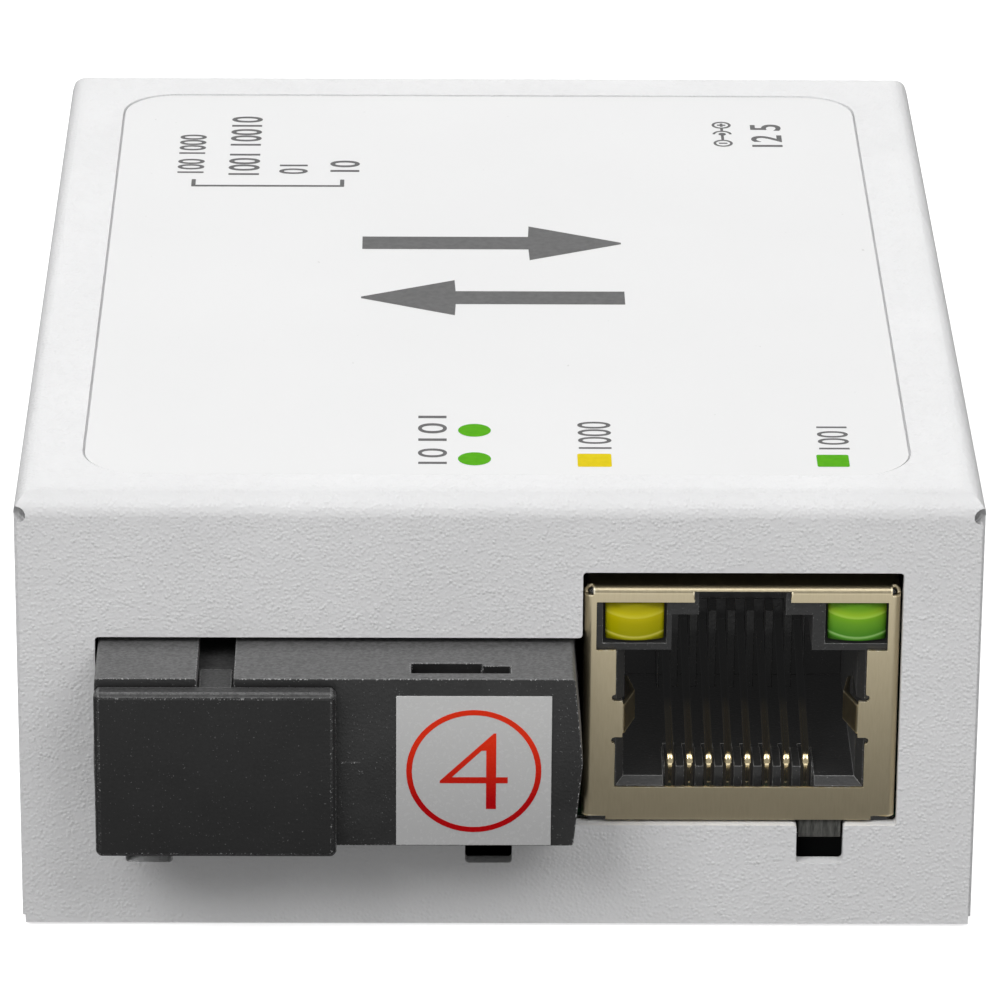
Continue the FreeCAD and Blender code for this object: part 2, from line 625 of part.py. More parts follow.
def cross_recess(tip, drive, across):
    """A cross-shaped driver recess, cut from a head's face inward along drive."""
    up = drive.cross(across)
    arms = []
    for along, beside in ((across, up), (up, across)):
        reach = along * SCREW_RECESS_REACH
        half = beside * (SCREW_RECESS_WIDTH / 2)
        corners = [tip - reach - half, tip + reach - half, tip + reach + half, tip - reach + half]
        arms.append(prism(corners, drive * SCREW_RECESS_DEPTH))
    return arms[0].fuse(arms[1])


def cover_screws():
    """Four countersunk machine screws that hold the cover to the tray."""
    made = []
    for sx, y in side_screw_places():
        recess = cross_recess(V(sx * SIDE, y, COVER_SCREW_Z), V(-sx, 0, 0), V(0, 1, 0))
        made.append(screw_head(sx, y, 0).fuse(screw_shank(sx, y, 0)).cut(recess))
    return group(made)


def overlay_label():
    """The printed polycarbonate sheet that lies in the cover's recess."""
    floor = CASE_HEIGHT - RECESS_DEPTH
    return slab(around(LABEL_X, LABEL_WIDTH), LABEL_YS, (floor, floor + LABEL_THICKNESS), LABEL_CORNER)


# Board and its fixings

def board_screw_places():
    """Two screws at the left, behind the transceiver, and two at the right."""
    x = BOARD_HALF - BOARD_SCREW_FROM_EDGE
    return [(-x, OPTIC_END + BOARD_SCREW_FROM_OPTIC), (-x, DIP_INNER - BOARD_SCREW_FROM_SWITCH),
            (x, JACK_END + BOARD_SCREW_FROM_JACK), (x, REAR - BOARD_SCREW_FROM_REAR)]


def contact_places():
    """x and y of each contact's tail: two staggered rows."""
    first = JACK_X - CONTACT_PITCH * (CONTACT_COUNT - 1) / 2
    row = JACK_FACE + PLUG_DEPTH + CONTACT_ROW_BEHIND
    return [(first + i * CONTACT_PITCH, row + (i % 2) * CONTACT_ROW_PITCH)
            for i in range(CONTACT_COUNT)]


def lamp_lead_places():
    y = HOUSING_END + HOUSING_END_SPACE / 2
    return [(JACK_X + LAMP_SHIFT + side * LAMP_OFFSET + lead * LEAD_SPACING / 2, y)
            for side in (-1, 1) for lead in (-1, 1)]


def optic_pin_places():
    first = OPTIC_LEFT + OPTIC_PIN_INSET
    y = OPTIC_END - OPTIC_PIN_FROM_END
    return [(first + i * OPTIC_PIN_PITCH, y) for i in range(OPTIC_PIN_COUNT)]


def optic_stud_places():
    y = SOCKET_END + OPTIC_STUD_BEHIND
    return [(OPTIC_LEFT + OPTIC_PIN_INSET, y), (OPTIC_RIGHT - OPTIC_PIN_INSET, y)]


def dip_way_x(way):
    return DIP_X + (way - (DIP_WAY_COUNT - 1) / 2) * DIP_PITCH


def dip_pin_places():
    near = DIP_INNER + DIP_PIN_FROM_INNER_END
    return [(dip_way_x(way), y) for way in range(DIP_WAY_COUNT) for y in (near, near + DIP_PIN_ROW_PITCH)]


def peg_places():
    y = JACK_FACE + LOCATING_PEG_BACK
    return [(JACK_X + side * LOCATING_PEG_SPACING / 2, y) for side in (-1, 1)]


def shield_tab_y():
    return around(JACK_FACE + SHIELD_TAB_BACK, SHIELD_TAB_WIDTH)


def inlet_tag_ys():
    """The centre tag at the inlet's inner end, and the spring's tag ahead of it."""
    return (DC_INNER + DC_TAG / 2 + DC_TAG_ROOM, DC_INNER + DC_DEPTH / 2)


def board_holes():
    """Every hole in the board, each a little larger than what goes through it."""
    sized = [(place, BOARD_SCREW_RADIUS + HOLE_CLEARANCE) for place in board_screw_places()]
    sized += [(place, CONTACT_WIDTH / 2 + HOLE_CLEARANCE) for place in contact_places()]
    sized += [(place, LEAD_SIZE / 2 + 2 * HOLE_CLEARANCE) for place in lamp_lead_places()]
    sized += [(place, LOCATING_PEG_RADIUS + HOLE_CLEARANCE) for place in peg_places()]
    sized += [(place, OPTIC_PIN_RADIUS + HOLE_CLEARANCE) for place in optic_pin_places()]
    sized += [(place, OPTIC_STUD_RADIUS + HOLE_CLEARANCE) for place in optic_stud_places()]
    sized += [(place, DIP_PIN_SIZE / 2 + 2 * HOLE_CLEARANCE) for place in dip_pin_places()]
    sized += [((DC_X, y), DC_TAG_WIDTH / 2 + HOLE_CLEARANCE) for y in inlet_tag_ys()]
    z = (BOARD_UNDER - OVERRUN, BOARD_TOP + OVERRUN)
    holes = [pin(radius, V(x, y, z[0]), V(x, y, z[1])) for (x, y), radius in sized]
    tab = shield_tab_y()
    for side in (-1, 1):
        x = JACK_X + side * (JACK_WIDTH - SHIELD_SHEET) / 2
        holes.append(block(around(x, SHIELD_SHEET + 2 * HOLE_CLEARANCE),
                           (tab[0] - HOLE_CLEARANCE, tab[1] + HOLE_CLEARANCE), z))
    return holes


def circuit_board():
    """The board, with three tabs that enter the front panel's notches."""
    inside = COVER_SHEET + BOARD_GAP
    z = (BOARD_UNDER, BOARD_TOP)
    board = slab((-BOARD_HALF, BOARD_HALF), (FRONT + inside, REAR - inside), z, BOARD_CORNER)
    tabs = [block(around(x, TAB_WIDTH), (FRONT + TAB_SETBACK, FRONT + 2 * inside), z) for x in NOTCH_XS]
    return board.fuse(tabs).removeSplitter().cut(board_holes())


def board_standoffs():
    """Four hexagonal standoffs, their feet clinched flush into the tray's floor."""
    made = []
    for x, y in board_screw_places():
        body = sided_bar(6, STANDOFF_RADIUS, V(x, y, BASE_SHEET), V(x, y, BOARD_UNDER))
        foot = sided_bar(6, STANDOFF_SPIGOT_RADIUS, V(x, y, 0), V(x, y, BASE_SHEET))
        bore = pin(BOARD_SCREW_RADIUS + THREAD_CLEARANCE, V(x, y, BASE_SHEET / 2), V(x, y, BOARD_TOP))
        made.append(body.fuse(foot).cut(bore))
    return group(made)


def board_screws():
    """Four pan-head screws that clamp the board to its standoffs."""
    made = []
    for x, y in board_screw_places():
        head = Part.makeCone(BOARD_SCREW_HEAD_RADIUS, BOARD_SCREW_HEAD_RADIUS - BOARD_SCREW_HEAD_TAPER,
                             BOARD_SCREW_HEAD_HEIGHT, V(x, y, BOARD_TOP))
        shank = pin(BOARD_SCREW_RADIUS, V(x, y, BOARD_TOP - BOARD_SCREW_LENGTH), V(x, y, BOARD_TOP))
        tip = V(x, y, BOARD_TOP + BOARD_SCREW_HEAD_HEIGHT)
        made.append(head.fuse(shank).cut(cross_recess(tip, V(0, 0, -1), V(1, 0, 0))))
    return group(made)


# Network jack

def x_pair(side, near, far):
    """The x range between two distances from the jack's middle, on one side of it."""
    return sorted((JACK_X + side * near, JACK_X + side * far))


def jack_block(x_width, y, z):
    """A box centred on the jack, its heights taken from the board's top."""
    return block(around(JACK_X, x_width), y, (BOARD_TOP + z[0], BOARD_TOP + z[1]))


def side_springs():
    """The two spring fingers that fold back from the shield's window."""
    made = []
    z = BOARD_TOP + NUB_FLOOR + NUB_RELIEF
    height = NUB_HEIGHT - 2 * NUB_RELIEF
    plate = JACK_FACE + SHIELD_SHEET / 2
    for side in (-1, 1):
        root = JACK_X + side * (SHIELD_WINDOW_WIDTH / 2 + SHIELD_SHEET)
        turn = JACK_X + side * (SHIELD_WINDOW_WIDTH / 2 - NUB_WIDTH)
        path = [(root, plate), (turn, plate),
                (turn - side * FINGER_REACH, plate + FINGER_LENGTH / 2),
                (turn - side * FINGER_REACH / 2, plate + FINGER_LENGTH)]
        bends = (SHIELD_SHEET, 0)
        made.append(strip(path, bends, SHIELD_SHEET, lambda p: V(p.x, p.y, z), V(0, 0, height)))
    return made


def shield_folds(form):
    """The long edges where the sheet folds: front to sides, front to top, top to sides."""
    box = form.BoundBox
    folds = []
    for edge in form.Edges:
        reach = edge.BoundBox
        front = reach.YMax < box.YMin + 0.01 and reach.ZMax > box.ZMin + 0.01
        top = reach.ZMin > box.ZMax - 0.01 and reach.YLength > 0.01
        if edge.Length > JACK_HEIGHT / 2 and (front or top):
            folds.append(edge)
    return folds


def shield_form(inset):
    """The shield's outside, or its inside at an inset, folded at the front, top and sides."""
    y = (JACK_FACE + inset, JACK_END - inset)
    floor = SHIELD_LIFT - inset
    form = jack_block(JACK_WIDTH - 2 * inset, y, (floor, JACK_HEIGHT - inset)).cut(shield_notches())
    return form.makeFillet(JACK_CORNER - inset, shield_folds(form))


def shield_notches():
    """The two cuts at the front's upper corners, where three folds would meet."""
    y = (JACK_FACE - OVERRUN, JACK_FACE + CORNER_NOTCH)
    z = (BOARD_TOP + JACK_HEIGHT - CORNER_NOTCH, BOARD_TOP + JACK_HEIGHT + OVERRUN)
    return [block(x_pair(side, JACK_WIDTH / 2 - CORNER_NOTCH, JACK_WIDTH), y, z) for side in (-1, 1)]


def rj45_shield():
    """The plated steel shield, folded round the jack's front, top, sides and rear."""
    y = (JACK_FACE + SHIELD_SHEET, JACK_END - SHIELD_SHEET)
    open_floor = jack_block(JACK_WIDTH - 2 * SHIELD_SHEET, y, (-OVERRUN, 2 * SHIELD_LIFT))
    shield = shield_form(0).cut([shield_form(SHIELD_SHEET), open_floor] + shield_notches())
    wall = (JACK_FACE - OVERRUN, JACK_FACE + SHIELD_SHEET + JACK_CORNER)
    window = jack_block(SHIELD_WINDOW_WIDTH, wall, (PLUG_FLOOR - MOUTH_CHAMFER, LAMP_WINDOW_TOP))
    lamps = jack_block(LAMP_WINDOW_WIDTH, wall, (PLUG_TOP + LAMP_WINDOW_LIFT, LAMP_WINDOW_TOP))
    latch = jack_block(LATCH_NOTCH_WIDTH, wall, (LAMP_WINDOW_TOP - OVERRUN, JACK_HEIGHT - LATCH_NOTCH_ROOF))
    window = window.fuse([lamps, latch])
    for side in (-1, 1):
        edge = SHIELD_WINDOW_WIDTH / 2
        for height in (NUB_FLOOR - NUB_RELIEF, NUB_TOP + NUB_RELIEF):
            centre = V(JACK_X + side * edge, wall[0], BOARD_TOP + height)
            window = window.fuse(pin(NUB_RELIEF, centre, centre + V(0, wall[1] - wall[0], 0)))
        window = window.cut(block(x_pair(side, edge - NUB_WIDTH, edge + NUB_WIDTH), wall,
                                  (BOARD_TOP + NUB_FLOOR, BOARD_TOP + NUB_TOP)))
    shield = shield.cut(window)
    feet = []
    for side in (-1, 1):
        foot = x_pair(side, JACK_WIDTH / 2 - SHIELD_SHEET, JACK_WIDTH / 2)
        feet.append(block(foot, shield_tab_y(), (TAIL_END, BOARD_TOP + SHIELD_LIFT + OVERRUN)))
        step = x_pair(side, JACK_WIDTH / 2 - 2 * LAMP_WINDOW_SIDE, JACK_WIDTH)
        shield = shield.cut(block(step, wall, (BOARD_TOP, BOARD_TOP + SHIELD_STEP)))
    return shield.fuse(feet + side_springs())


def plug_ring(y, margin):
    """The plug opening's outline at a depth, widened at its sides and floor."""
    x = around(JACK_X, PLUG_WIDTH + 2 * margin)
    z = (BOARD_TOP + PLUG_FLOOR - margin, BOARD_TOP + PLUG_TOP)
    corners = [V(x[0], y, z[0]), V(x[1], y, z[0]), V(x[1], y, z[1]), V(x[0], y, z[1])]
    return Part.makePolygon(corners + [corners[0]])


def rj45_housing():
    """The black moulding: stepped plug opening, contact comb, lamp pockets and pegs."""
    width = JACK_WIDTH - 2 * (SHIELD_SHEET + SHIELD_GAP)
    top = JACK_HEIGHT - SHIELD_SHEET - SHIELD_GAP
    body = jack_block(width, (HOUSING_FACE, HOUSING_END), (0, top))
    body = body.makeChamfer(JACK_CORNER - SHIELD_SHEET - SHIELD_GAP, shield_folds(body))
    end = HOUSING_FACE + PLUG_DEPTH
    mouth = (HOUSING_FACE - OVERRUN, end)
    hollow = [jack_block(PLUG_WIDTH, mouth, (PLUG_FLOOR, PLUG_TOP)),
              jack_block(SHOULDER_WIDTH, mouth, (PLUG_TOP - OVERRUN, SHOULDER_TOP)),
              jack_block(LATCH_WIDTH, mouth, (SHOULDER_TOP - OVERRUN, top + OVERRUN)),
              Part.makeLoft([plug_ring(HOUSING_FACE, MOUTH_CHAMFER),
                             plug_ring(HOUSING_FACE + MOUTH_CHAMFER, 0)], True)]
    comb = (HOUSING_FACE + COMB_SETBACK, HOUSING_FACE + COMB_SETBACK + COMB_LENGTH)
    hollow.append(jack_block(COMB_WIDTH, (HOUSING_FACE - OVERRUN, comb[0]),
                             (CONTACT_RUN - CONTACT_THICKNESS, PLUG_FLOOR + COMB_LIFT)))
    pocket_z = (BOARD_TOP + LAMP_FLOOR - LAMP_POCKET_GAP, BOARD_TOP + LAMP_TOP + LAMP_POCKET_GAP)
    for side in (-1, 1):
        pocket_x = around(JACK_X + LAMP_SHIFT + side * LAMP_OFFSET, LAMP_WIDTH + 2 * LAMP_POCKET_GAP)
        hollow.append(block(pocket_x, (HOUSING_FACE - OVERRUN, HOUSING_END + OVERRUN), pocket_z))
        wall = x_pair(side, PLUG_WIDTH / 2 - SHIELD_SHEET, PLUG_WIDTH / 2 + FINGER_ROOM)
        hollow.append(block(wall, (HOUSING_FACE - OVERRUN, JACK_FACE + FINGER_LENGTH + FINGER_ROOM),
                            (BOARD_TOP + NUB_FLOOR, BOARD_TOP + NUB_TOP)))
    body = body.cut(hollow)
    comb_top = PLUG_FLOOR + COMB_LIFT
    rear_comb = (end - REAR_COMB_LENGTH, end + SHIELD_GAP)
    rear_top = PLUG_FLOOR + CONTACT_RISE + REAR_COMB_RISE
    pegs = [pin(LOCATING_PEG_RADIUS, V(x, y, STUD_END), V(x, y, BOARD_TOP + OVERRUN))
            for x, y in peg_places()]
    body = body.fuse([jack_block(COMB_WIDTH, comb, (PLUG_FLOOR - COMB_LIFT, comb_top)),
                      jack_block(COMB_WIDTH, rear_comb, (PLUG_FLOOR - COMB_LIFT, rear_top))] + pegs)
    run_top = BOARD_TOP + CONTACT_RUN + CONTACT_THICKNESS
    slots = []
    for x, y in contact_places():
        slot = around(x, CONTACT_SLOT)
        slots.append(block(slot, (comb[0] - OVERRUN, y + CONTACT_SLOT), (BOARD_TOP - OVERRUN, run_top)))
        slots.append(block(slot, (comb[0] - OVERRUN, comb[1] + OVERRUN),
                           (BOARD_TOP, BOARD_TOP + comb_top + OVERRUN)))
        slots.append(block(slot, (rear_comb[0] - OVERRUN, end - SHIELD_GAP),
                           (BOARD_TOP + PLUG_FLOOR, BOARD_TOP + rear_top + OVERRUN)))
    return body.cut(slots)


def rj45_contacts():
    """Eight gold-plated wires: tail, lower run, knee, and a sprung arm that rises rearwards."""
    low = BOARD_TOP + CONTACT_RUN
    high = low + 2 * CONTACT_KNEE
    knee = JACK_FACE + CONTACT_BACK
    tip = HOUSING_FACE + PLUG_DEPTH - CONTACT_TIP_GAP
    made = []
    for x, tail in contact_places():
        path = [(tail, TAIL_END), (tail, low), (knee, low), (knee, high), (tip, high + CONTACT_RISE)]
        bends = (0, CONTACT_BEND, CONTACT_BEND)
        made.append(strip_upright(x, CONTACT_WIDTH, path, bends, CONTACT_THICKNESS))
    return group(made)


def jack_lamp(side):
    """A moulded lamp with a rounded face, seated in its pocket."""
    x = around(JACK_X + LAMP_SHIFT + side * LAMP_OFFSET, LAMP_WIDTH)
    face = JACK_FACE + LAMP_SETBACK
    z = BOARD_TOP + LAMP_FLOOR
    crown = Part.Arc(V(x[0], face, z), V((x[0] + x[1]) / 2, face - LAMP_BULGE, z), V(x[1], face, z))
    rest = Part.makePolygon([V(x[1], face, z), V(x[1], face + LAMP_LENGTH, z),
                             V(x[0], face + LAMP_LENGTH, z), V(x[0], face, z)])
    return Part.Face(Part.Wire([crown.toShape()] + rest.Edges)).extrude(V(0, 0, LAMP_TOP - LAMP_FLOOR))


def rj45_lamp_yellow():
    return jack_lamp(-1)


def rj45_lamp_green():
    return jack_lamp(1)


def rj45_lamp_leads():
    """Two leads to each lamp, back through the pocket and down to the board."""
    start = JACK_FACE + LAMP_SETBACK + LAMP_LENGTH
    z = BOARD_TOP + (LAMP_FLOOR + LAMP_TOP) / 2
    made = []
    for x, drop in lamp_lead_places():
        path = [(start, z), (drop, z), (drop, TAIL_END)]
        made.append(strip_upright(x, LEAD_SIZE, path, (0,), LEAD_SIZE))
    return group(made)


# Optical transceiver

def optic_envelope():
    """The transceiver's outside: walls that lean out to a parting line, with soft edges."""
    outline = [(OPTIC_LEFT, OPTIC_TOP),
               (OPTIC_LEFT - OPTIC_DRAFT_LEFT, OPTIC_UNDER + OPTIC_PARTING),
               (OPTIC_LEFT, OPTIC_UNDER),
               (OPTIC_RIGHT, OPTIC_UNDER),
               (OPTIC_RIGHT + OPTIC_DRAFT_RIGHT, OPTIC_UNDER + OPTIC_PARTING),
               (OPTIC_RIGHT, OPTIC_TOP)]
    solid = prism([V(x, OPTIC_FACE, z) for x, z in outline], V(0, OPTIC_LENGTH, 0))
    soft = [edge for edge in edges_along(solid, V(0, 1, 0))
            if abs(edge.BoundBox.ZMin - OPTIC_UNDER - OPTIC_PARTING) > 0.1]
    return solid.makeFillet(OPTIC_EDGE, soft)


def optic_pocket(z, shrink):
    """The L-shaped room for the electronics, beside and behind the socket."""
    left = OPTIC_LEFT + OPTIC_WALL + shrink
    right = OPTIC_RIGHT - OPTIC_WALL - shrink
    beside = SOCKET_X + SOCKET_WIDTH / 2 + OPTIC_WALL + shrink
    back = OPTIC_END - OPTIC_WALL - shrink
    behind = block((left, right), (SOCKET_END + OPTIC_WALL + shrink, back), z)
    return behind.fuse(block((beside, right), (OPTIC_FACE + OPTIC_WALL + shrink, back), z))


def transceiver_housing():
    """The black moulding with the fibre socket, its keyway and the slot in its roof."""
    body = optic_envelope()
    socket = block(around(SOCKET_X, SOCKET_WIDTH), (OPTIC_FACE - OVERRUN, SOCKET_END),
                   around(SOCKET_Z, SOCKET_HEIGHT))
    keyway = block(around(SOCKET_X, KEYWAY_WIDTH), (OPTIC_FACE - OVERRUN, OPTIC_FACE + KEYWAY_LENGTH),
                   (SOCKET_Z, OPTIC_TOP + OVERRUN))
    sleeve_hole = rod(SLEEVE_RADIUS + HOLE_CLEARANCE, V(SOCKET_X, SOCKET_END - OVERRUN, SOCKET_Z),
                      V(SOCKET_X, SOCKET_END + OPTIC_WALL + OVERRUN, SOCKET_Z))
    pocket = optic_pocket((OPTIC_UNDER - OVERRUN, OPTIC_TOP - OPTIC_WALL), 0)
    right = OPTIC_RIGHT - MOULD_SLOT_FROM_RIGHT
    left = right - MOULD_SLOT_LENGTH
    front = OPTIC_FACE + MOULD_SLOT_SETBACK
    roof = (OPTIC_TOP - 2 * OPTIC_WALL, OPTIC_TOP + OVERRUN)
    wide = block((left, right - MOULD_SLOT_STEP), (front, front + MOULD_SLOT_WIDTH), roof)
    narrow = block((left, right), (front, front + MOULD_SLOT_WIDTH * 3 / 4), roof)
    return body.cut([socket, keyway, sleeve_hole, pocket, wide, narrow])


def transceiver_floor():
    """The plate that closes the transceiver's underside, on four feet."""
    z = (OPTIC_UNDER, OPTIC_UNDER + OPTIC_FLOOR_THICKNESS)
    plate = optic_pocket(z, SHIELD_GAP)
    feet = []
    for x in (OPTIC_LEFT + OPTIC_FOOT_INSET, OPTIC_RIGHT - OPTIC_FOOT_INSET):
        for y in (OPTIC_END - OPTIC_FOOT_INSET, SOCKET_END + OPTIC_WALL + OPTIC_FOOT):
            feet.append(block(around(x, OPTIC_FOOT), around(y, OPTIC_FOOT), (BOARD_TOP, z[1])))
    holes = [pin(OPTIC_PIN_RADIUS + THREAD_CLEARANCE, V(x, y, z[0] - OVERRUN), V(x, y, z[1] + OVERRUN))
             for x, y in optic_pin_places()]
    holes += [pin(OPTIC_STUD_RADIUS + THREAD_CLEARANCE, V(x, y, z[0] - OVERRUN), V(x, y, z[1] + OVERRUN))
              for x, y in optic_stud_places()]
    return plate.fuse(feet).cut(holes)


def transceiver_pins():
    """Nine signal pins in a row and two stouter studs, soldered through the board."""
    top = OPTIC_UNDER + 2 * OPTIC_FLOOR_THICKNESS
    made = [pin(OPTIC_PIN_RADIUS, V(x, y, TAIL_END), V(x, y, top)) for x, y in optic_pin_places()]
    made += [pin(OPTIC_STUD_RADIUS, V(x, y, STUD_END), V(x, y, top)) for x, y in optic_stud_places()]
    return group(made)


def optical_barrel():
    """The turned sleeve that takes the ferrule, with its flange, laser and receiver cans."""
    axis = V(SOCKET_X, 0, SOCKET_Z)
    mouth = SOCKET_END - SLEEVE_LENGTH
    wall = SOCKET_END + OPTIC_WALL
    shoulder = wall + BARREL_FLANGE_THICKNESS
    sleeve = rod(SLEEVE_RADIUS, axis + V(0, mouth, 0), axis + V(0, wall, 0))
    flange = rod(BARREL_FLANGE_RADIUS, axis + V(0, wall, 0), axis + V(0, shoulder, 0))
    body = rod(BARREL_RADIUS, axis + V(0, shoulder, 0), axis + V(0, wall + BARREL_LENGTH, 0))
    can_y = wall + SIDE_CAN_BACK
    can = rod(SIDE_CAN_RADIUS, axis + V(0, can_y, 0), axis + V(SIDE_CAN_REACH, can_y, 0))
    bore = rod(SLEEVE_BORE, axis + V(0, mouth - OVERRUN, 0), axis + V(0, wall, 0))
    return sleeve.fuse([flange, body, can]).cut(bore)


def sc_latch_clip():
    """The clip round the sleeve, whose two hooked arms hold a fibre connector."""
    back = SOCKET_END
    z = around(SOCKET_Z, LATCH_ARM_HEIGHT)
    plate = block(around(SOCKET_X, SOCKET_WIDTH - 2 * SHIELD_GAP), (back - LATCH_PLATE, back),
                  around(SOCKET_Z, SOCKET_HEIGHT - 2 * SHIELD_GAP))
    plate = plate.cut(rod(SLEEVE_RADIUS + THREAD_CLEARANCE, V(SOCKET_X, back - 2, SOCKET_Z),
                          V(SOCKET_X, back + OVERRUN, SOCKET_Z)))
    arms = []
    for side in (-1, 1):
        outer = SOCKET_X + side * (SOCKET_WIDTH / 2 - SHIELD_GAP)
        inner = outer - side * LATCH_ARM_THICKNESS
        hook = inner - side * LATCH_HOOK
        tip = back - LATCH_ARM_LENGTH
        outline = [V(outer, back, z[0]), V(outer, tip, z[0]), V(inner, tip, z[0]),
                   V(hook, tip + LATCH_HOOK, z[0]), V(hook, tip + 2 * LATCH_HOOK, z[0]),
                   V(inner, tip + 3 * LATCH_HOOK, z[0]), V(inner, back, z[0])]
        arms.append(prism(outline, V(0, 0, LATCH_ARM_HEIGHT)))
    return plate.fuse(arms)


def dust_cap():
    """The removable cap: a flange, a plug bored for the sleeve, and a key on top."""
    seat = OPTIC_FACE - CAP_SEAT
    socket_z = around(SOCKET_Z, SOCKET_HEIGHT)
    flange = block(around(SOCKET_X, SOCKET_WIDTH + 2 * CAP_SIDE), (seat - CAP_THICKNESS, seat),
                   (socket_z[0] - CAP_BELOW, socket_z[1] + CAP_ABOVE))
    flange = flange.makeChamfer(CAP_EDGE, [edge for edge in flange.Edges
                                           if edge.BoundBox.YMin < seat - CAP_THICKNESS + 0.01])
    width = SOCKET_WIDTH - 2 * CAP_CLEARANCE
    height = SOCKET_HEIGHT - 2 * CAP_CLEARANCE
    end = OPTIC_FACE + CAP_PLUG_LENGTH
    plug = block(around(SOCKET_X, width), (seat, end), around(SOCKET_Z, height))
    key = block(around(SOCKET_X, KEYWAY_WIDTH - 2 * CAP_CLEARANCE), (seat, OPTIC_FACE + CAP_KEY_LENGTH),
                (SOCKET_Z, SOCKET_Z + height / 2 + CAP_KEY_HEIGHT))
    inside = (OPTIC_FACE + CAP_PLUG_FLOOR, end + OVERRUN)
    bore = rod(SLEEVE_RADIUS + CAP_BORE_CLEARANCE, V(SOCKET_X, inside[0], SOCKET_Z),
               V(SOCKET_X, inside[1], SOCKET_Z))
    grooves = []
    depth = LATCH_ARM_THICKNESS + LATCH_HOOK + SHIELD_GAP + CAP_GROOVE_CLEARANCE
    arm = around(SOCKET_Z, LATCH_ARM_HEIGHT + 2 * CAP_GROOVE_CLEARANCE)
    for side in (-1, 1):
        face = SOCKET_X + side * SOCKET_WIDTH / 2
        grooves.append(block(sorted((face, face - side * depth)), inside, arm))
    return flange.fuse([plug, key]).cut([bore] + grooves)


def port_sticker():
    """A small printed square stuck to the transceiver's face."""
    right = OPTIC_RIGHT - STICKER_FROM_RIGHT
    return block((right - STICKER_WIDTH, right), (OPTIC_FACE - STICKER_THICKNESS, OPTIC_FACE),
                 (OPTIC_UNDER + STICKER_FROM_UNDERSIDE, OPTIC_TOP - STICKER_FROM_TOP))


# Setting switch

def dip_slot_z():
    low = BOARD_TOP + DIP_SLOT_FLOOR
    return (low, low + DIP_SLOT_HEIGHT)


def dip_shoe_room():
    """Depth range of the room behind the switch's face, where the shoes run."""
    back = DIP_OUTER - DIP_FACE
    return (back - DIP_SHOE_THICKNESS - 2 * DIP_RUNNING_GAP, back)


def dip_body():
    """The switch's moulding, with a slot and an inner room for each slider."""
    body = block(around(DIP_X, DIP_WIDTH), (DIP_INNER, DIP_OUTER), (BOARD_TOP, BOARD_TOP + DIP_HEIGHT))
    low, high = dip_slot_z()
    overlap = (DIP_SHOE_HEIGHT - DIP_KNOB_HEIGHT) / 2
    cuts = []
    for way in range(DIP_WAY_COUNT):
        x = dip_way_x(way)
        cuts.append(block(around(x, DIP_SLOT_WIDTH), (dip_shoe_room()[0], DIP_OUTER + OVERRUN), (low, high)))
        cuts.append(block(around(x, DIP_SHOE_WIDTH + 2 * DIP_RUNNING_GAP), dip_shoe_room(),
                          (low - overlap, high + overlap)))
    for x, y in dip_pin_places():
        cuts.append(block(around(x, DIP_PIN_SIZE), around(y, DIP_PIN_SIZE),
                          (BOARD_TOP - OVERRUN, BOARD_TOP + DIP_PIN_BITE)))
    return body.cut(cuts)


def dip_slider(way):
    """One slider at the low end of its slot: a knob in front of a wider shoe."""
    x = dip_way_x(way)
    knob_z = dip_slot_z()[0] + DIP_RUNNING_GAP
    shoe_z = around(knob_z + DIP_KNOB_HEIGHT / 2, DIP_SHOE_HEIGHT)
    room = dip_shoe_room()
    shoe = block(around(x, DIP_SHOE_WIDTH), (room[0] + DIP_RUNNING_GAP, room[1] - DIP_RUNNING_GAP), shoe_z)
    knob = block(around(x, DIP_SLOT_WIDTH - 2 * DIP_RUNNING_GAP),
                 (room[1] - DIP_RUNNING_GAP, DIP_OUTER), (knob_z, knob_z + DIP_KNOB_HEIGHT))
    knob = knob.makeChamfer(DIP_RUNNING_GAP, [edge for edge in edges_along(knob, V(1, 0, 0))
                                              if edge.BoundBox.YMin > DIP_OUTER - 0.01])
    return shoe.fuse(knob)


def dip_pins():
    """Two solder pins to each way of the switch."""
    z = (TAIL_END, BOARD_TOP + DIP_PIN_BITE)
    return group([block(around(x, DIP_PIN_SIZE), around(y, DIP_PIN_SIZE), z) for x, y in dip_pin_places()])


# Power inlet

def dc_jack_body():
    """The inlet's moulding, with a round bore for the plug and a slot for its spring."""
    y = (DC_INNER, DC_OUTER)
    body = block(around(DC_X, DC_WIDTH), y, (BOARD_TOP, BOARD_TOP + DC_HEIGHT))
    upper = [edge for edge in edges_along(body, V(0, 1, 0)) if edge.BoundBox.ZMin > BOARD_TOP + OVERRUN]
    body = body.makeFillet(DC_CORNER, upper)
    axis = V(DC_X, 0, DC_AXIS)
    bore = rod(DC_BORE_RADIUS, axis + V(0, y[1] - DC_BORE_DEPTH, 0), axis + V(0, y[1] + OVERRUN, 0))
    pin_hole = rod(DC_PIN_RADIUS + THREAD_CLEARANCE, axis + V(0, y[0] + DC_TAG, 0), axis + V(0, y[1], 0))
    tag_x = around(DC_X, DC_TAG_WIDTH + DC_TAG_ROOM)
    tag_end = y[0] + DC_TAG + 2 * DC_TAG_ROOM
    tag = block(tag_x, (y[0] - OVERRUN, tag_end),
                (BOARD_TOP - OVERRUN, DC_AXIS + DC_PIN_RADIUS + DC_TAG_ROOM))
    spring_y = inlet_tag_ys()[1]
    spring = block(tag_x, (spring_y - DC_TAG, y[1] - DC_SPRING_END / 2),
                   (BOARD_TOP - OVERRUN, DC_AXIS - DC_BORE_RADIUS + DC_TAG_ROOM))
    return body.cut([bore, pin_hole, tag, spring])


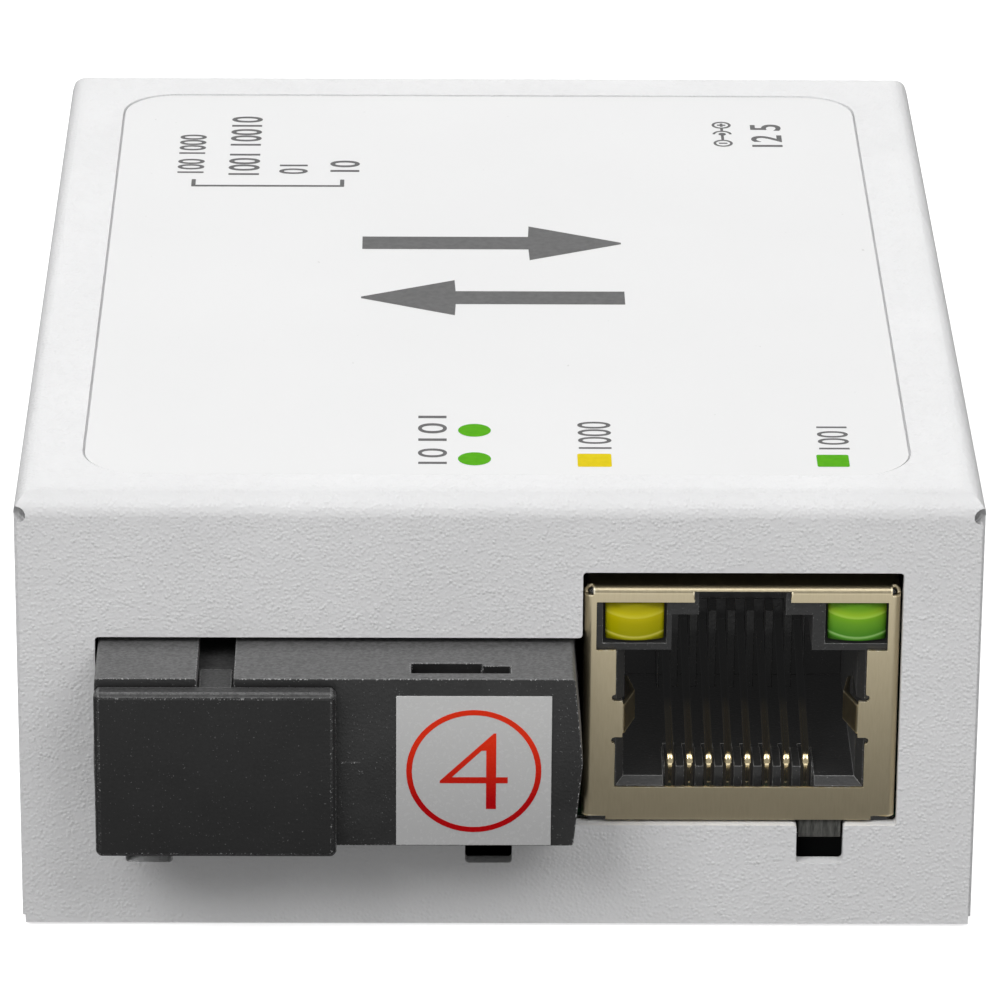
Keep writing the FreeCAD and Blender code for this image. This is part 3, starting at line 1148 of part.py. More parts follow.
def dc_jack_pin():
    """The centre pin with a coned tip, and its tag down to the board."""
    tag_y = inlet_tag_ys()[0]
    root = V(DC_X, tag_y, DC_AXIS)
    neck = V(DC_X, DC_OUTER - DC_BORE_DEPTH + DC_PIN_LENGTH - DC_PIN_TIP, DC_AXIS)
    tip = Part.makeCone(DC_PIN_RADIUS, DC_PIN_RADIUS - DC_PIN_TIP, DC_PIN_TIP, neck, V(0, 1, 0))
    tag = block(around(DC_X, DC_TAG_WIDTH), around(tag_y, DC_TAG), (TAIL_END, DC_AXIS + DC_PIN_RADIUS))
    return rod(DC_PIN_RADIUS, root, neck).fuse([tip, tag])


def dc_jack_spring():
    """The leaf under the bore that presses on a plug's outer sleeve."""
    y = inlet_tag_ys()[1]
    low = DC_AXIS - DC_BORE_RADIUS - DC_TAG
    path = [(y, TAIL_END), (y, low), (DC_OUTER - DC_SPRING_END, low + DC_SPRING_RISE)]
    return strip_upright(DC_X, DC_TAG_WIDTH, path, (DC_TAG,), DC_SPRING_THICKNESS)


# Light guide and the lamps that feed it

def guide_lamp_ys():
    """The lower arm's lamp stands nearest the transceiver, the upper arm's behind it."""
    first = OPTIC_END + GUIDE_LAMP_BACK
    return (first, first + GUIDE_LAMP_PITCH)


def light_guide():
    """Two clear arms over the transceiver, each with mirror facets at its two turns."""
    half = GUIDE_WIDTH / 2
    foot = BOARD_TOP + STATUS_LED_HEIGHT + GUIDE_LAMP_GAP
    low = OPTIC_TOP + GUIDE_LOW
    arms = []
    for lamp, window, level in zip(guide_lamp_ys(), WINDOW_YS, (low, low + GUIDE_STEP)):
        outline = [(lamp - half, foot), (lamp + half, foot), (lamp + half, level - half),
                   (lamp - half, level + half), (window + half, level + half), (window + half, CEILING),
                   (window - half, CEILING), (window - half, level + half), (window + half, level - half),
                   (lamp - half, level - half)]
        arms.append(prism([V(WINDOW_X - half, y, z) for y, z in outline], V(GUIDE_WIDTH, 0, 0)))
        arms.append(rod(WINDOW_RADIUS - GUIDE_HOLE_GAP, V(WINDOW_X, window, CEILING),
                        V(WINDOW_X, window, CASE_HEIGHT - RECESS_DEPTH)))
    for y in (WINDOW_YS[1] + GUIDE_WEB_INSET, OPTIC_END - GUIDE_WEB_INSET):
        arms.append(block(around(WINDOW_X, half), around(y, GUIDE_WIDTH), (OPTIC_TOP, low + GUIDE_STEP)))
    return arms[0].fuse(arms[1:])


def status_leds():
    """Two small lamps on the board, under the light guide's feet."""
    z = (BOARD_TOP, BOARD_TOP + STATUS_LED_HEIGHT)
    return group([block(around(WINDOW_X, STATUS_LED_WIDTH), around(y, STATUS_LED_DEPTH), z)
                  for y in guide_lamp_ys()])


# Parts on the board

def packaged(x, y, width, depth, height):
    """A moulded package whose sides taper to its top and bottom faces."""
    middle = (PACKAGE_LIFT + height) / 2
    rings = []
    for z, inset in ((PACKAGE_LIFT, PACKAGE_DRAFT), (middle, 0), (height, PACKAGE_DRAFT)):
        xs = around(x, width - 2 * inset)
        ys = around(y, depth - 2 * inset)
        corners = [V(xs[i], ys[j], BOARD_TOP + z) for i, j in ((0, 0), (1, 0), (1, 1), (0, 1))]
        rings.append(Part.makePolygon(corners + [corners[0]]))
    return Part.makeLoft(rings, True, True)


def gull_lead(x, y, outward, height, width, reach):
    """A gull-wing lead that leaves a package's side at (x, y) and lands on its pad."""
    mid = BOARD_TOP + (PACKAGE_LIFT + height) / 2
    t = LEAD_THICKNESS
    profile = [(0, mid), (reach / 2, mid), (reach / 2 + t, BOARD_TOP + t), (reach, BOARD_TOP + t),
               (reach, BOARD_TOP), (reach / 2 - t / 2, BOARD_TOP), (reach / 2 - t, mid - t), (0, mid - t)]
    across = V(-outward.y, outward.x, 0) * width
    start = V(x, y, 0) - across * 0.5
    return prism([start + outward * run + V(0, 0, z) for run, z in profile], across)


def lead_row(x, y, outward, height, count, pitch, width, reach):
    """A row of like leads along one side of a package, about the middle of that side."""
    beside = V(-outward.y, outward.x, 0)
    row = []
    for i in range(count):
        place = V(x, y, 0) + beside * ((i - (count - 1) / 2) * pitch)
        row.append(gull_lead(place.x, place.y, outward, height, width, reach))
    return row


def chip_leads():
    """The gull-wing leads of the memory, the transformer and the regulator."""
    made = []
    for side in (-1, 1):
        outward = V(0, side, 0)
        made += lead_row(MEMORY_X, MEMORY_Y + side * MEMORY_DEPTH / 2, outward, MEMORY_HEIGHT,
                         MEMORY_LEAD_COUNT, LEAD_PITCH, LEAD_WIDTH, LEAD_REACH)
        made += lead_row(TRANSFORMER_X, TRANSFORMER_Y + side * TRANSFORMER_DEPTH / 2, outward,
                         MEMORY_HEIGHT, TRANSFORMER_LEAD_COUNT, LEAD_PITCH, LEAD_WIDTH, LEAD_REACH)
    made += lead_row(REGULATOR_X - REGULATOR_WIDTH / 2, REGULATOR_Y, V(-1, 0, 0), REGULATOR_HEIGHT,
                     REGULATOR_LEAD_COUNT, REGULATOR_LEAD_PITCH, REGULATOR_LEAD_WIDTH, REGULATOR_REACH)
    made.append(gull_lead(REGULATOR_X + REGULATOR_WIDTH / 2, REGULATOR_Y, V(1, 0, 0), REGULATOR_HEIGHT,
                          REGULATOR_TAB_WIDTH, REGULATOR_REACH))
    return group(made)


def converter_chip():
    """The converter chip, a flat leadless package soldered straight to the board."""
    return block(around(CHIP_X, CHIP_SIZE), around(CHIP_Y, CHIP_SIZE), (BOARD_TOP, BOARD_TOP + CHIP_HEIGHT))


def memory_chip():
    return packaged(MEMORY_X, MEMORY_Y, MEMORY_WIDTH, MEMORY_DEPTH, MEMORY_HEIGHT)


def network_transformer():
    """The isolating transformer's block, square above its leads."""
    body = block(around(TRANSFORMER_X, TRANSFORMER_WIDTH), around(TRANSFORMER_Y, TRANSFORMER_DEPTH),
                 (BOARD_TOP + TRANSFORMER_LIFT, BOARD_TOP + TRANSFORMER_HEIGHT))
    return body.makeChamfer(TRANSFORMER_EDGE, [edge for edge in body.Edges
                                               if edge.BoundBox.ZMin > BOARD_TOP + TRANSFORMER_HEIGHT - 0.01])


def voltage_regulator():
    return packaged(REGULATOR_X, REGULATOR_Y, REGULATOR_WIDTH, REGULATOR_DEPTH, REGULATOR_HEIGHT)


def crystal():
    """The timing crystal, a ceramic base with a metal lid, behind the transformer."""
    body = block(around(TRANSFORMER_X, CRYSTAL_WIDTH),
                 around(TRANSFORMER_Y + CRYSTAL_BEHIND_TRANSFORMER, CRYSTAL_DEPTH),
                 (BOARD_TOP, BOARD_TOP + CRYSTAL_HEIGHT))
    return body.makeChamfer(CRYSTAL_CORNER, edges_along(body, V(0, 0, 1)))


def power_coil():
    """The shielded coil: a square ferrite ring with its round core set inside."""
    x = -SIDE + COIL_FROM_SIDE
    y = OPTIC_END + COIL_BEHIND_OPTIC
    z = (BOARD_TOP, BOARD_TOP + COIL_HEIGHT)
    ring = block(around(x, COIL_SIZE), around(y, COIL_SIZE), z)
    ring = ring.makeChamfer(COIL_CORNER, edges_along(ring, V(0, 0, 1)))
    floor = z[1] - COIL_TRENCH_DEPTH
    trench = rod(COIL_CORE_RADIUS + COIL_TRENCH_WIDTH, V(x, y, floor), V(x, y, z[1] + OVERRUN))
    core = rod(COIL_CORE_RADIUS, V(x, y, floor), V(x, y, z[1]))
    return ring.cut(trench).fuse(core)


def capacitor_places():
    """One can ahead of the setting switch, one beside the power inlet."""
    inlet_side = DC_X - DC_WIDTH / 2
    return [(DIP_X, DIP_INNER - CAPACITOR_TO_SWITCH),
            (inlet_side - CAPACITOR_TO_INLET - CAPACITOR_BASE / 2, REAR - CAPACITOR_FROM_REAR)]


def bulk_capacitors():
    """Two aluminium cans on square plastic bases."""
    made = []
    for x, y in capacitor_places():
        foot = BOARD_TOP + CAPACITOR_BASE_HEIGHT
        top = BOARD_TOP + CAPACITOR_HEIGHT
        base = block(around(x, CAPACITOR_BASE), around(y, CAPACITOR_BASE), (BOARD_TOP, foot))
        can = rod(CAPACITOR_RADIUS, V(x, y, foot), V(x, y, top))
        can = can.makeChamfer(CAPACITOR_EDGE, [edge for edge in can.Edges if edge.BoundBox.ZMin > top - 0.01])
        made.append(can.fuse(base))
    return group(made)


def chip_parts():
    """Small resistors and capacitors in a column down each side of the converter chip."""
    z = (BOARD_TOP, BOARD_TOP + CHIP_PART_HEIGHT)
    made = []
    for side in (-1, 1):
        x = CHIP_X + side * (CHIP_SIZE / 2 + CHIP_PART_GAP)
        for i in range(CHIP_PART_COUNT):
            y = CHIP_Y + (i - (CHIP_PART_COUNT - 1) / 2) * CHIP_PART_PITCH
            made.append(block(around(x, CHIP_PART_DEPTH), around(y, CHIP_PART_WIDTH), z))
    return group(made)


SUBPARTS = [top_cover, base_plate, cover_screws, overlay_label, light_guide, circuit_board,
            board_standoffs, board_screws, rj45_housing, rj45_shield, rj45_contacts,
            rj45_lamp_yellow, rj45_lamp_green, rj45_lamp_leads, transceiver_housing,
            transceiver_floor, transceiver_pins, optical_barrel, sc_latch_clip, dust_cap,
            port_sticker, dip_body, dip_pins, dc_jack_body, dc_jack_pin, dc_jack_spring,
            status_leds, converter_chip, memory_chip, network_transformer, voltage_regulator,
            crystal, power_coil, bulk_capacitors, chip_leads, chip_parts]


os.makedirs("parts", exist_ok=True)
for build in SUBPARTS:
    build().exportStep("parts/" + build.__name__ + ".step")
for way in range(DIP_WAY_COUNT):
    dip_slider(way).exportStep("parts/dip_slider_" + str(way + 1) + ".step")
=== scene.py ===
"""Fibre media converter, dressed: its finishes, print and studio, in the order it is put together."""
import math

import bpy
from mathutils import Matrix, Vector


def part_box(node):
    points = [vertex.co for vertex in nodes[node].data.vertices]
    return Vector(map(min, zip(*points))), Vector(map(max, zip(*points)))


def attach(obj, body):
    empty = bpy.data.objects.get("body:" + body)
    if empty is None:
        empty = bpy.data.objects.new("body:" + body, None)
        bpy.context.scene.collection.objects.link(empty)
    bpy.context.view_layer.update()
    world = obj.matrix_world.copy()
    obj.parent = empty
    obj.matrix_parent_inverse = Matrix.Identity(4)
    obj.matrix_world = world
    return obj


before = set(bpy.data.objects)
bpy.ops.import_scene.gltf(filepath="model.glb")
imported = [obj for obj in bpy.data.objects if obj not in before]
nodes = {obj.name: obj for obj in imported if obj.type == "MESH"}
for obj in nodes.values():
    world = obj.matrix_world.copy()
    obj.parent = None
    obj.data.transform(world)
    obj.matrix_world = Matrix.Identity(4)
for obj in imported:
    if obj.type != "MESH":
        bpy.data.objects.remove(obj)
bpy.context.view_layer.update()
MM = 0.001


# --- Studio -----------------------------------------------------------------
# A pale matt table that runs out of sight, soft boxes overhead, behind and in
# front, a glowing card under the ports that only reflections see, dark next to the case as a painted shadow of it,
# and a long lens that looks down on them.

def material(name):
    """An empty named material, with its node tree and its shader."""
    made = bpy.data.materials.new(name)
    made.use_nodes = True
    return made, made.node_tree, made.node_tree.nodes["Principled BSDF"]


def noise(tree, scale, detail=2.0, stretch=(1, 1, 1)):
    """A noise pattern fixed to the piece; scale is in grains a metre."""
    place = tree.nodes.new("ShaderNodeTexCoord")
    turn = tree.nodes.new("ShaderNodeMapping")
    turn.inputs["Scale"].default_value = stretch
    grain = tree.nodes.new("ShaderNodeTexNoise")
    grain.inputs["Scale"].default_value = scale
    grain.inputs["Detail"].default_value = detail
    tree.links.new(place.outputs["Object"], turn.inputs["Vector"])
    tree.links.new(turn.outputs["Vector"], grain.inputs["Vector"])
    return grain.outputs["Fac"]


def spread(tree, source, low, high, start=0.3, stop=0.7):
    """Maps a pattern on to a range of values."""
    fit = tree.nodes.new("ShaderNodeMapRange")
    fit.inputs["From Min"].default_value = start
    fit.inputs["From Max"].default_value = stop
    fit.inputs["To Min"].default_value = low
    fit.inputs["To Max"].default_value = high
    tree.links.new(source, fit.inputs["Value"])
    return fit.outputs["Result"]


def colours_along(tree, source, stops):
    """Runs through colours by a pattern; each stop is a value from 0 to 1 and its colour."""
    ramp = tree.nodes.new("ShaderNodeValToRGB")
    for end, (position, colour) in zip((0, 1), (stops[0], stops[-1])):
        ramp.color_ramp.elements[end].position = position
        ramp.color_ramp.elements[end].color = (*colour, 1)
    for position, colour in stops[1:-1]:
        ramp.color_ramp.elements.new(position).color = (*colour, 1)
    tree.links.new(source, ramp.inputs["Fac"])
    return ramp.outputs["Color"]


def two_colours(tree, source, first, second, start=0.3, stop=0.7):
    """Blends between two colours by a pattern."""
    return colours_along(tree, source, ((start, first), (stop, second)))


def axes_of(tree, kind="Object"):
    """The X, Y and Z of each point of a piece, or of the way that its surface faces."""
    place = tree.nodes.new("ShaderNodeTexCoord")
    split = tree.nodes.new("ShaderNodeSeparateXYZ")
    tree.links.new(place.outputs[kind], split.inputs[0])
    return split.outputs


def only(piece):
    """Makes a piece the one that is selected and active."""
    bpy.ops.object.select_all(action="DESELECT")
    piece.select_set(True)
    bpy.context.view_layer.objects.active = piece


bpy.ops.object.select_all(action="DESELECT")
bpy.ops.mesh.primitive_grid_add(x_subdivisions=40, y_subdivisions=40, size=24, location=(0, 0, -0.0002))
floor = bpy.context.object
floor.name = "studio_floor"
only(floor)
bpy.ops.object.transform_apply(location=True, rotation=True, scale=True)
table_paint, tree, shader = material("table_paint")
tree.links.new(two_colours(tree, noise(tree, 3.0), (0.93, 0.93, 0.93), (0.95, 0.95, 0.95)),
               shader.inputs["Base Color"])
shader.inputs["Roughness"].default_value = 0.9
shader.inputs["Specular IOR Level"].default_value = 0.1
shader.inputs["Emission Color"].default_value = (1, 1, 1, 1)
shader.inputs["Emission Strength"].default_value = 0.62
floor.data.materials.append(table_paint)
floor.visible_diffuse = False
floor.visible_glossy = False


def soft_light(name, place, target, width, height, power):
    """A rectangular soft box that faces a target."""
    lamp = bpy.data.lights.new(name, "AREA")
    lamp.shape = "RECTANGLE"
    lamp.size = width
    lamp.size_y = height
    lamp.energy = power
    box = bpy.data.objects.new(name, lamp)
    bpy.context.scene.collection.objects.link(box)
    box.location = place
    box.rotation_euler = (Vector(target) - Vector(place)).to_track_quat("-Z", "Y").to_euler()
    box.visible_camera = False


soft_light("light_behind", (0.0, 0.95, 0.40), (0, 0, 0), 1.8, 0.7, 5.4)
soft_light("light_overhead", (0.0, -0.50, 0.80), (0, 0, 0), 0.6, 0.5, 0.9)
soft_light("light_left", (-0.46, -0.55, 0.70), (0, 0, 0.01), 0.45, 0.45, 4.1)
soft_light("light_right", (0.42, -0.55, 0.70), (0, 0, 0.01), 0.45, 0.45, 1.9)

bpy.ops.object.select_all(action="DESELECT")
bpy.ops.mesh.primitive_grid_add(x_subdivisions=8, y_subdivisions=8, size=0.9, location=(0, -0.485, -0.0001))
card = bpy.context.object
card.name = "studio_card"
only(card)
bpy.ops.object.transform_apply(location=True, rotation=True, scale=True)
card_painted_shadow, tree, shader = material("card_painted_shadow")
CARD_NEAR = -0.032              # its greys start dark, at the case's front
CARD_FAR = -0.092               # and end pale, 60 mm further out
# The card glows for reflections only: its dark greys next to the case are a painted shadow of the case on the table,
# turning pale further out.
painted_shadow_greys = ((0.0, (0.20, 0.20, 0.21)), (0.25, (0.18,) * 3), (0.48, (0.34,) * 3), (0.72, (1.05,) * 3), (1.0, (1.2,) * 3))
outward = spread(tree, axes_of(tree)["Y"], 0.0, 1.0, CARD_NEAR, CARD_FAR)
tree.links.new(colours_along(tree, outward, painted_shadow_greys), shader.inputs["Emission Color"])
shader.inputs["Emission Strength"].default_value = 1.0
shader.inputs["Base Color"].default_value = (0, 0, 0, 1)
shader.inputs["Specular IOR Level"].default_value = 0.0
card.data.materials.append(card_painted_shadow)
card.visible_camera = False
card.visible_diffuse = False
card.visible_transmission = False
card.visible_shadow = False

scene = bpy.context.scene
scene.view_settings.view_transform = "Standard"
scene.world = bpy.data.worlds.new("studio_air")
scene.world.use_nodes = True
air = scene.world.node_tree.nodes["Background"]
air.inputs["Color"].default_value = (1.0, 1.0, 1.0, 1)
tree = scene.world.node_tree
tree.links.new(spread(tree, axes_of(tree, "Generated")["Z"], 0.20, 0.34, -0.10, 0.10), air.inputs["Strength"])

FOCAL_LENGTH = 242.85           # mm, as the frame's width is
FRAME_WIDTH = 36.0
STAND = (-0.003993, -0.349177, 0.161310)
SWING = -0.718                  # degrees, and to the right is negative
LOOK_DOWN = 23.366              # degrees below level
ROLL = 0.4346                   # degrees about the line of sight
lens = bpy.data.cameras.new("camera")
lens.lens = FOCAL_LENGTH
lens.sensor_width = FRAME_WIDTH
lens.clip_start = 0.01
camera = bpy.data.objects.new("camera", lens)
scene.collection.objects.link(camera)
aim = (Matrix.Rotation(math.radians(SWING), 4, "Z")
       @ Matrix.Rotation(math.radians(90 - LOOK_DOWN), 4, "X")
       @ Matrix.Rotation(math.radians(ROLL), 4, "Z"))
camera.matrix_world = Matrix.Translation(STAND) @ aim
scene.camera = camera


# --- Tray -------------------------------------------------------------------
# The floor of the case and its two upturned flanges, folded from one piece of
# galvanised steel. The zinc shows as faint crystals of lighter and darker grey.

WELD_GAP = 1e-6                 # metres between points that are one point
FLAT_WITHIN = 0.4               # degrees between triangles that are one flat face
SHARP_OVER = 35                 # degrees at an edge that gets rounded


def dress(name, finish, edge=0.0, rim=None):
    """Gives a solid its finish, makes its faces whole, and rounds its edges, in a finish of their own if given."""
    piece = nodes[name]
    piece.data.materials.clear()
    piece.data.materials.append(finish)
    piece.data.polygons.foreach_set("material_index", [0] * len(piece.data.polygons))
    piece.data.polygons.foreach_set("use_smooth", [True] * len(piece.data.polygons))
    weld = piece.modifiers.new("weld", "WELD")
    weld.merge_threshold = WELD_GAP
    whole = piece.modifiers.new("whole_faces", "DECIMATE")
    whole.decimate_type = "DISSOLVE"
    whole.angle_limit = math.radians(FLAT_WITHIN)
    if edge:
        bevel = piece.modifiers.new("edges", "BEVEL")
        bevel.width = edge
        bevel.segments = 3 if edge > 0.1 * MM else 2
        bevel.limit_method = "ANGLE"
        bevel.angle_limit = math.radians(SHARP_OVER)
        bevel.face_strength_mode = "FSTR_ALL"
        if rim:
            piece.data.materials.append(rim)
            bevel.material = 1
    even = piece.modifiers.new("shading", "WEIGHTED_NORMAL")
    even.use_face_influence = bool(edge)
    even.weight = 100


def relief(tree, shader, source, depth, strength=1.0, under=None):
    """Raises a pattern as bumps of a given depth, over another set if there is one."""
    bump = tree.nodes.new("ShaderNodeBump")
    bump.inputs["Distance"].default_value = depth
    bump.inputs["Strength"].default_value = strength
    tree.links.new(source, bump.inputs["Height"])
    if under is not None:
        tree.links.new(under, bump.inputs["Normal"])
    tree.links.new(bump.outputs["Normal"], shader.inputs["Normal"])
    return bump.outputs["Normal"]


def crystals(tree, scale):
    """The flat patches that zinc freezes into, each of one value."""
    place = tree.nodes.new("ShaderNodeTexCoord")
    cells = tree.nodes.new("ShaderNodeTexVoronoi")
    cells.inputs["Scale"].default_value = scale
    grey = tree.nodes.new("ShaderNodeRGBToBW")
    tree.links.new(place.outputs["Object"], cells.inputs["Vector"])
    tree.links.new(cells.outputs["Color"], grey.inputs["Color"])
    return grey.outputs["Val"]


zinc, tree, shader = material("galvanised_sheet")
patches = crystals(tree, 330.0)
tree.links.new(two_colours(tree, patches, (0.46, 0.47, 0.48), (0.66, 0.67, 0.68), 0.2, 0.8),
               shader.inputs["Base Color"])
tree.links.new(spread(tree, patches, 0.30, 0.46, 0.2, 0.8), shader.inputs["Roughness"])
relief(tree, shader, noise(tree, 2600.0, 3.0), 0.000006)
shader.inputs["Metallic"].default_value = 1.0
dress("base_plate", zinc, 0.08 * MM)


# --- Standoffs --------------------------------------------------------------
# Four hexagonal steel pillars, turned from bar, zinc plated, and clinched into
# the tray. They hold the board 3 mm above the tray.

def mottled(name, colours, grain, rough, fine, metallic=0.0):
    """A finish whose colour varies by one noise and whose roughness varies by a finer one."""
    made, tree, shader = material(name)
    tree.links.new(two_colours(tree, noise(tree, *grain), *colours), shader.inputs["Base Color"])
    tree.links.new(spread(tree, noise(tree, *fine), *rough), shader.inputs["Roughness"])
    shader.inputs["Metallic"].default_value = metallic
    return made, tree, shader


plated, tree, shader = mottled("zinc_plated_bar", ((0.56, 0.57, 0.58), (0.68, 0.69, 0.71)), (1500.0, 2.0, (1, 1, 6)),
                               (0.22, 0.38), (3000.0, 2.0, (1, 1, 8)), metallic=1.0)
dress("board_standoffs", plated, 0.06 * MM)


# --- Circuit board ----------------------------------------------------------
# Glass-fibre board in green lacquer, with copper runs showing through it as
# lighter lines. Its sawn edges are bare fibre, dull grey and rough.

def sums(tree, operation, *terms):
    """One sum on patterns and plain numbers, at every point."""
    step = tree.nodes.new("ShaderNodeMath")
    step.operation = operation
    for socket, term in zip(step.inputs, terms):
        if isinstance(term, float):
            socket.default_value = term
        else:
            tree.links.new(term, socket)
    return step.outputs[0]


def laid_over(tree, amount, ground, cover):
    """One colour laid over another by an amount; each is a pattern or a plain colour."""
    blend = tree.nodes.new("ShaderNodeMixRGB")
    tree.links.new(amount, blend.inputs["Fac"])
    for socket, colour in ((blend.inputs[1], ground), (blend.inputs[2], cover)):
        if isinstance(colour, tuple):
            socket.default_value = (*colour, 1)
        else:
            tree.links.new(colour, socket)
    return blend.outputs[0]


board, tree, shader = material("lacquered_board")
runs = []
for direction, pitch in (("X", 190.0), ("Y", 150.0)):
    place = tree.nodes.new("ShaderNodeTexCoord")
    bands = tree.nodes.new("ShaderNodeTexWave")
    bands.bands_direction = direction
    bands.inputs["Scale"].default_value = pitch
    tree.links.new(place.outputs["Object"], bands.inputs["Vector"])
    runs.append(sums(tree, "GREATER_THAN", bands.outputs["Fac"], 0.86))
choice = tree.nodes.new("ShaderNodeMix")
tree.links.new(sums(tree, "GREATER_THAN", crystals(tree, 170.0), 0.5), choice.inputs[0])
tree.links.new(runs[0], choice.inputs[2])
tree.links.new(runs[1], choice.inputs[3])
lacquer = two_colours(tree, choice.outputs[0], (0.007, 0.050, 0.021), (0.020, 0.115, 0.050), 0.0, 1.0)
fibre = two_colours(tree, noise(tree, 9000.0, 3.0, (1, 1, 0.15)), (0.025, 0.025, 0.022), (0.12, 0.12, 0.11))
flat = sums(tree, "GREATER_THAN", sums(tree, "ABSOLUTE", axes_of(tree, "Normal")["Z"]), 0.5)
tree.links.new(laid_over(tree, flat, fibre, lacquer), shader.inputs["Base Color"])
tree.links.new(spread(tree, flat, 0.80, 0.32, 0.0, 1.0), shader.inputs["Roughness"])
relief(tree, shader, noise(tree, 5000.0, 3.0, (1, 1, 0.3)), 0.00002, 0.6)
dress("circuit_board", board, 0.04 * MM)


# --- Chips ------------------------------------------------------------------
# Black epoxy mouldings with a fine eroded skin: the converter, its memory, the
# network transformer and the regulator. A pale dot marks one corner of each.

epoxy, tree, shader = mottled("black_epoxy", ((0.030, 0.030, 0.032), (0.050, 0.050, 0.052)), (2500.0, 3.0),
                              (0.52, 0.70), (8000.0,))
relief(tree, shader, noise(tree, 9000.0, 2.0), 0.000008)
chips = ("converter_chip", "memory_chip", "network_transformer", "voltage_regulator")
for name in chips:
    dress(name, epoxy, 0.08 * MM)

ink_white, tree, shader = mottled("white_ink", ((0.70, 0.70, 0.69), (0.80, 0.80, 0.79)), (6000.0,),
                                  (0.45, 0.60), (9000.0,))
INK = 0.012 * MM                # thickness of any print
DOT_INSET = 0.9 * MM            # from a chip's sides to the middle of its dot


def settle(piece, name, finish, body):
    """Fixes a finished piece in place, gives it its finish and lets it ride on a body."""
    only(piece)
    bpy.ops.object.transform_apply(location=True, rotation=True, scale=True)
    bpy.ops.object.mode_set(mode="EDIT")
    bpy.ops.mesh.select_all(action="SELECT")
    bpy.ops.mesh.normals_make_consistent(inside=False)
    bpy.ops.object.mode_set(mode="OBJECT")
    piece.name = name
    piece.data.materials.clear()
    piece.data.materials.append(finish)
    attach(piece, body)


def printed_dot(name, x, y, z, radius, finish):
    """A round spot of ink, domed a little at its rim."""
    bpy.ops.object.select_all(action="DESELECT")
    bpy.ops.mesh.primitive_cylinder_add(vertices=48, radius=radius, depth=INK, location=(x, y, z + INK / 2))
    bpy.ops.object.mode_set(mode="EDIT")
    bpy.ops.mesh.select_all(action="SELECT")
    bpy.ops.mesh.bevel(offset=INK / 3, segments=1)
    bpy.ops.object.mode_set(mode="OBJECT")
    settle(bpy.context.object, name, finish, "case")


for name in chips:
    low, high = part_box(name)
    printed_dot("first_lead_" + name, low.x + DOT_INSET, low.y + DOT_INSET, high.z, 0.28 * MM, ink_white)


# --- Crystal, coil and capacitors -------------------------------------------
# A plated crystal can, a dark ferrite coil, and drawn aluminium cans.

lid, tree, shader = mottled("plated_lid", ((0.60, 0.58, 0.54), (0.72, 0.70, 0.66)), (2200.0, 2.0, (5, 1, 1)),
                            (0.20, 0.34), (3500.0, 2.0, (5, 1, 1)), metallic=1.0)
dress("crystal", lid, 0.06 * MM)

ferrite, tree, shader = mottled("ferrite", ((0.10, 0.10, 0.105), (0.17, 0.17, 0.175)), (4000.0, 3.0),
                                (0.60, 0.80), (6000.0,))
relief(tree, shader, noise(tree, 7000.0, 3.0), 0.00002)
dress("power_coil", ferrite, 0.08 * MM)

drawn_can, tree, shader = mottled("drawn_aluminium", ((0.72, 0.72, 0.74), (0.82, 0.82, 0.84)),
                                  (1500.0, 2.0, (1, 1, 8)), (0.18, 0.30), (2800.0, 2.0, (1, 1, 8)), metallic=1.0)
dress("bulk_capacitors", drawn_can, 0.05 * MM)


# --- Small board parts ------------------------------------------------------
# Ceramic chip parts, the two white lamps under the light guide, and the tinned
# leads of the chips, dull in patches.

ceramic, tree, shader = mottled("ceramic", ((0.26, 0.19, 0.13), (0.38, 0.30, 0.22)), (3000.0, 3.0),
                                (0.35, 0.55), (5000.0,))
dress("chip_parts", ceramic, 0.04 * MM)

cream, tree, shader = mottled("white_moulding", ((0.80, 0.80, 0.77), (0.87, 0.87, 0.85)), (1800.0,),
                              (0.40, 0.55), (6000.0,))
relief(tree, shader, noise(tree, 7000.0, 2.0), 0.000004)
dress("status_leds", cream, 0.04 * MM)

tinned, tree, shader = mottled("tinned_lead", ((0.62, 0.62, 0.61), (0.80, 0.80, 0.79)), (2600.0, 3.0),
                               (0.22, 0.45), (4000.0, 3.0), metallic=1.0)
dress("chip_leads", tinned, 0.03 * MM)


# --- Network jack -----------------------------------------------------------
# A black glass-filled moulding with a contact comb, with a faint painted glow. Its skin is grainy, and its
# edges are painted a lighter grey, partly rubbed wear and partly painted highlight.

def moulding(name, dark, light, speck, rough, sheen, dust_and_top_light=0.0, grain=0.000018, rare=0.77):
    """Moulded plastic: a fine grain, stray pale specks, and a pale film on what faces up, partly dust and partly
    painted light on the tops.
    """
    made, tree, shader = material(name)
    tone = two_colours(tree, noise(tree, 420.0, 4.0), (dark,) * 3, (light,) * 3)
    stray = spread(tree, noise(tree, 12000.0, 0.0), 0.0, 1.0, rare, rare + 0.08)
    specked = laid_over(tree, stray, tone, (speck,) * 3)
    upward = spread(tree, axes_of(tree, "Normal")["Z"], 0.0, 1.0 if dust_and_top_light else 0.0, 0.3, 0.9)
    patches = spread(tree, noise(tree, 5600.0, 3.0), 0.50, 1.0, 0.35, 0.65)
    dust_and_painted_top_light = sums(tree, "MULTIPLY", upward, patches)
    tree.links.new(laid_over(tree, dust_and_painted_top_light, specked, (dust_and_top_light,) * 3), shader.inputs["Base Color"])
    tree.links.new(spread(tree, noise(tree, 5200.0, 2.0), *rough), shader.inputs["Roughness"])
    relief(tree, shader, noise(tree, 6000.0, 2.0), grain, 1.0)
    shader.inputs["Sheen Weight"].default_value = sheen
    shader.inputs["Sheen Roughness"].default_value = 0.45
    return made


glowing_filled_nylon = moulding("glass_filled_nylon_painted_glow", 0.006, 0.011, 0.10, (0.36, 0.50), 0.05)
shader = glowing_filled_nylon.node_tree.nodes["Principled BSDF"]
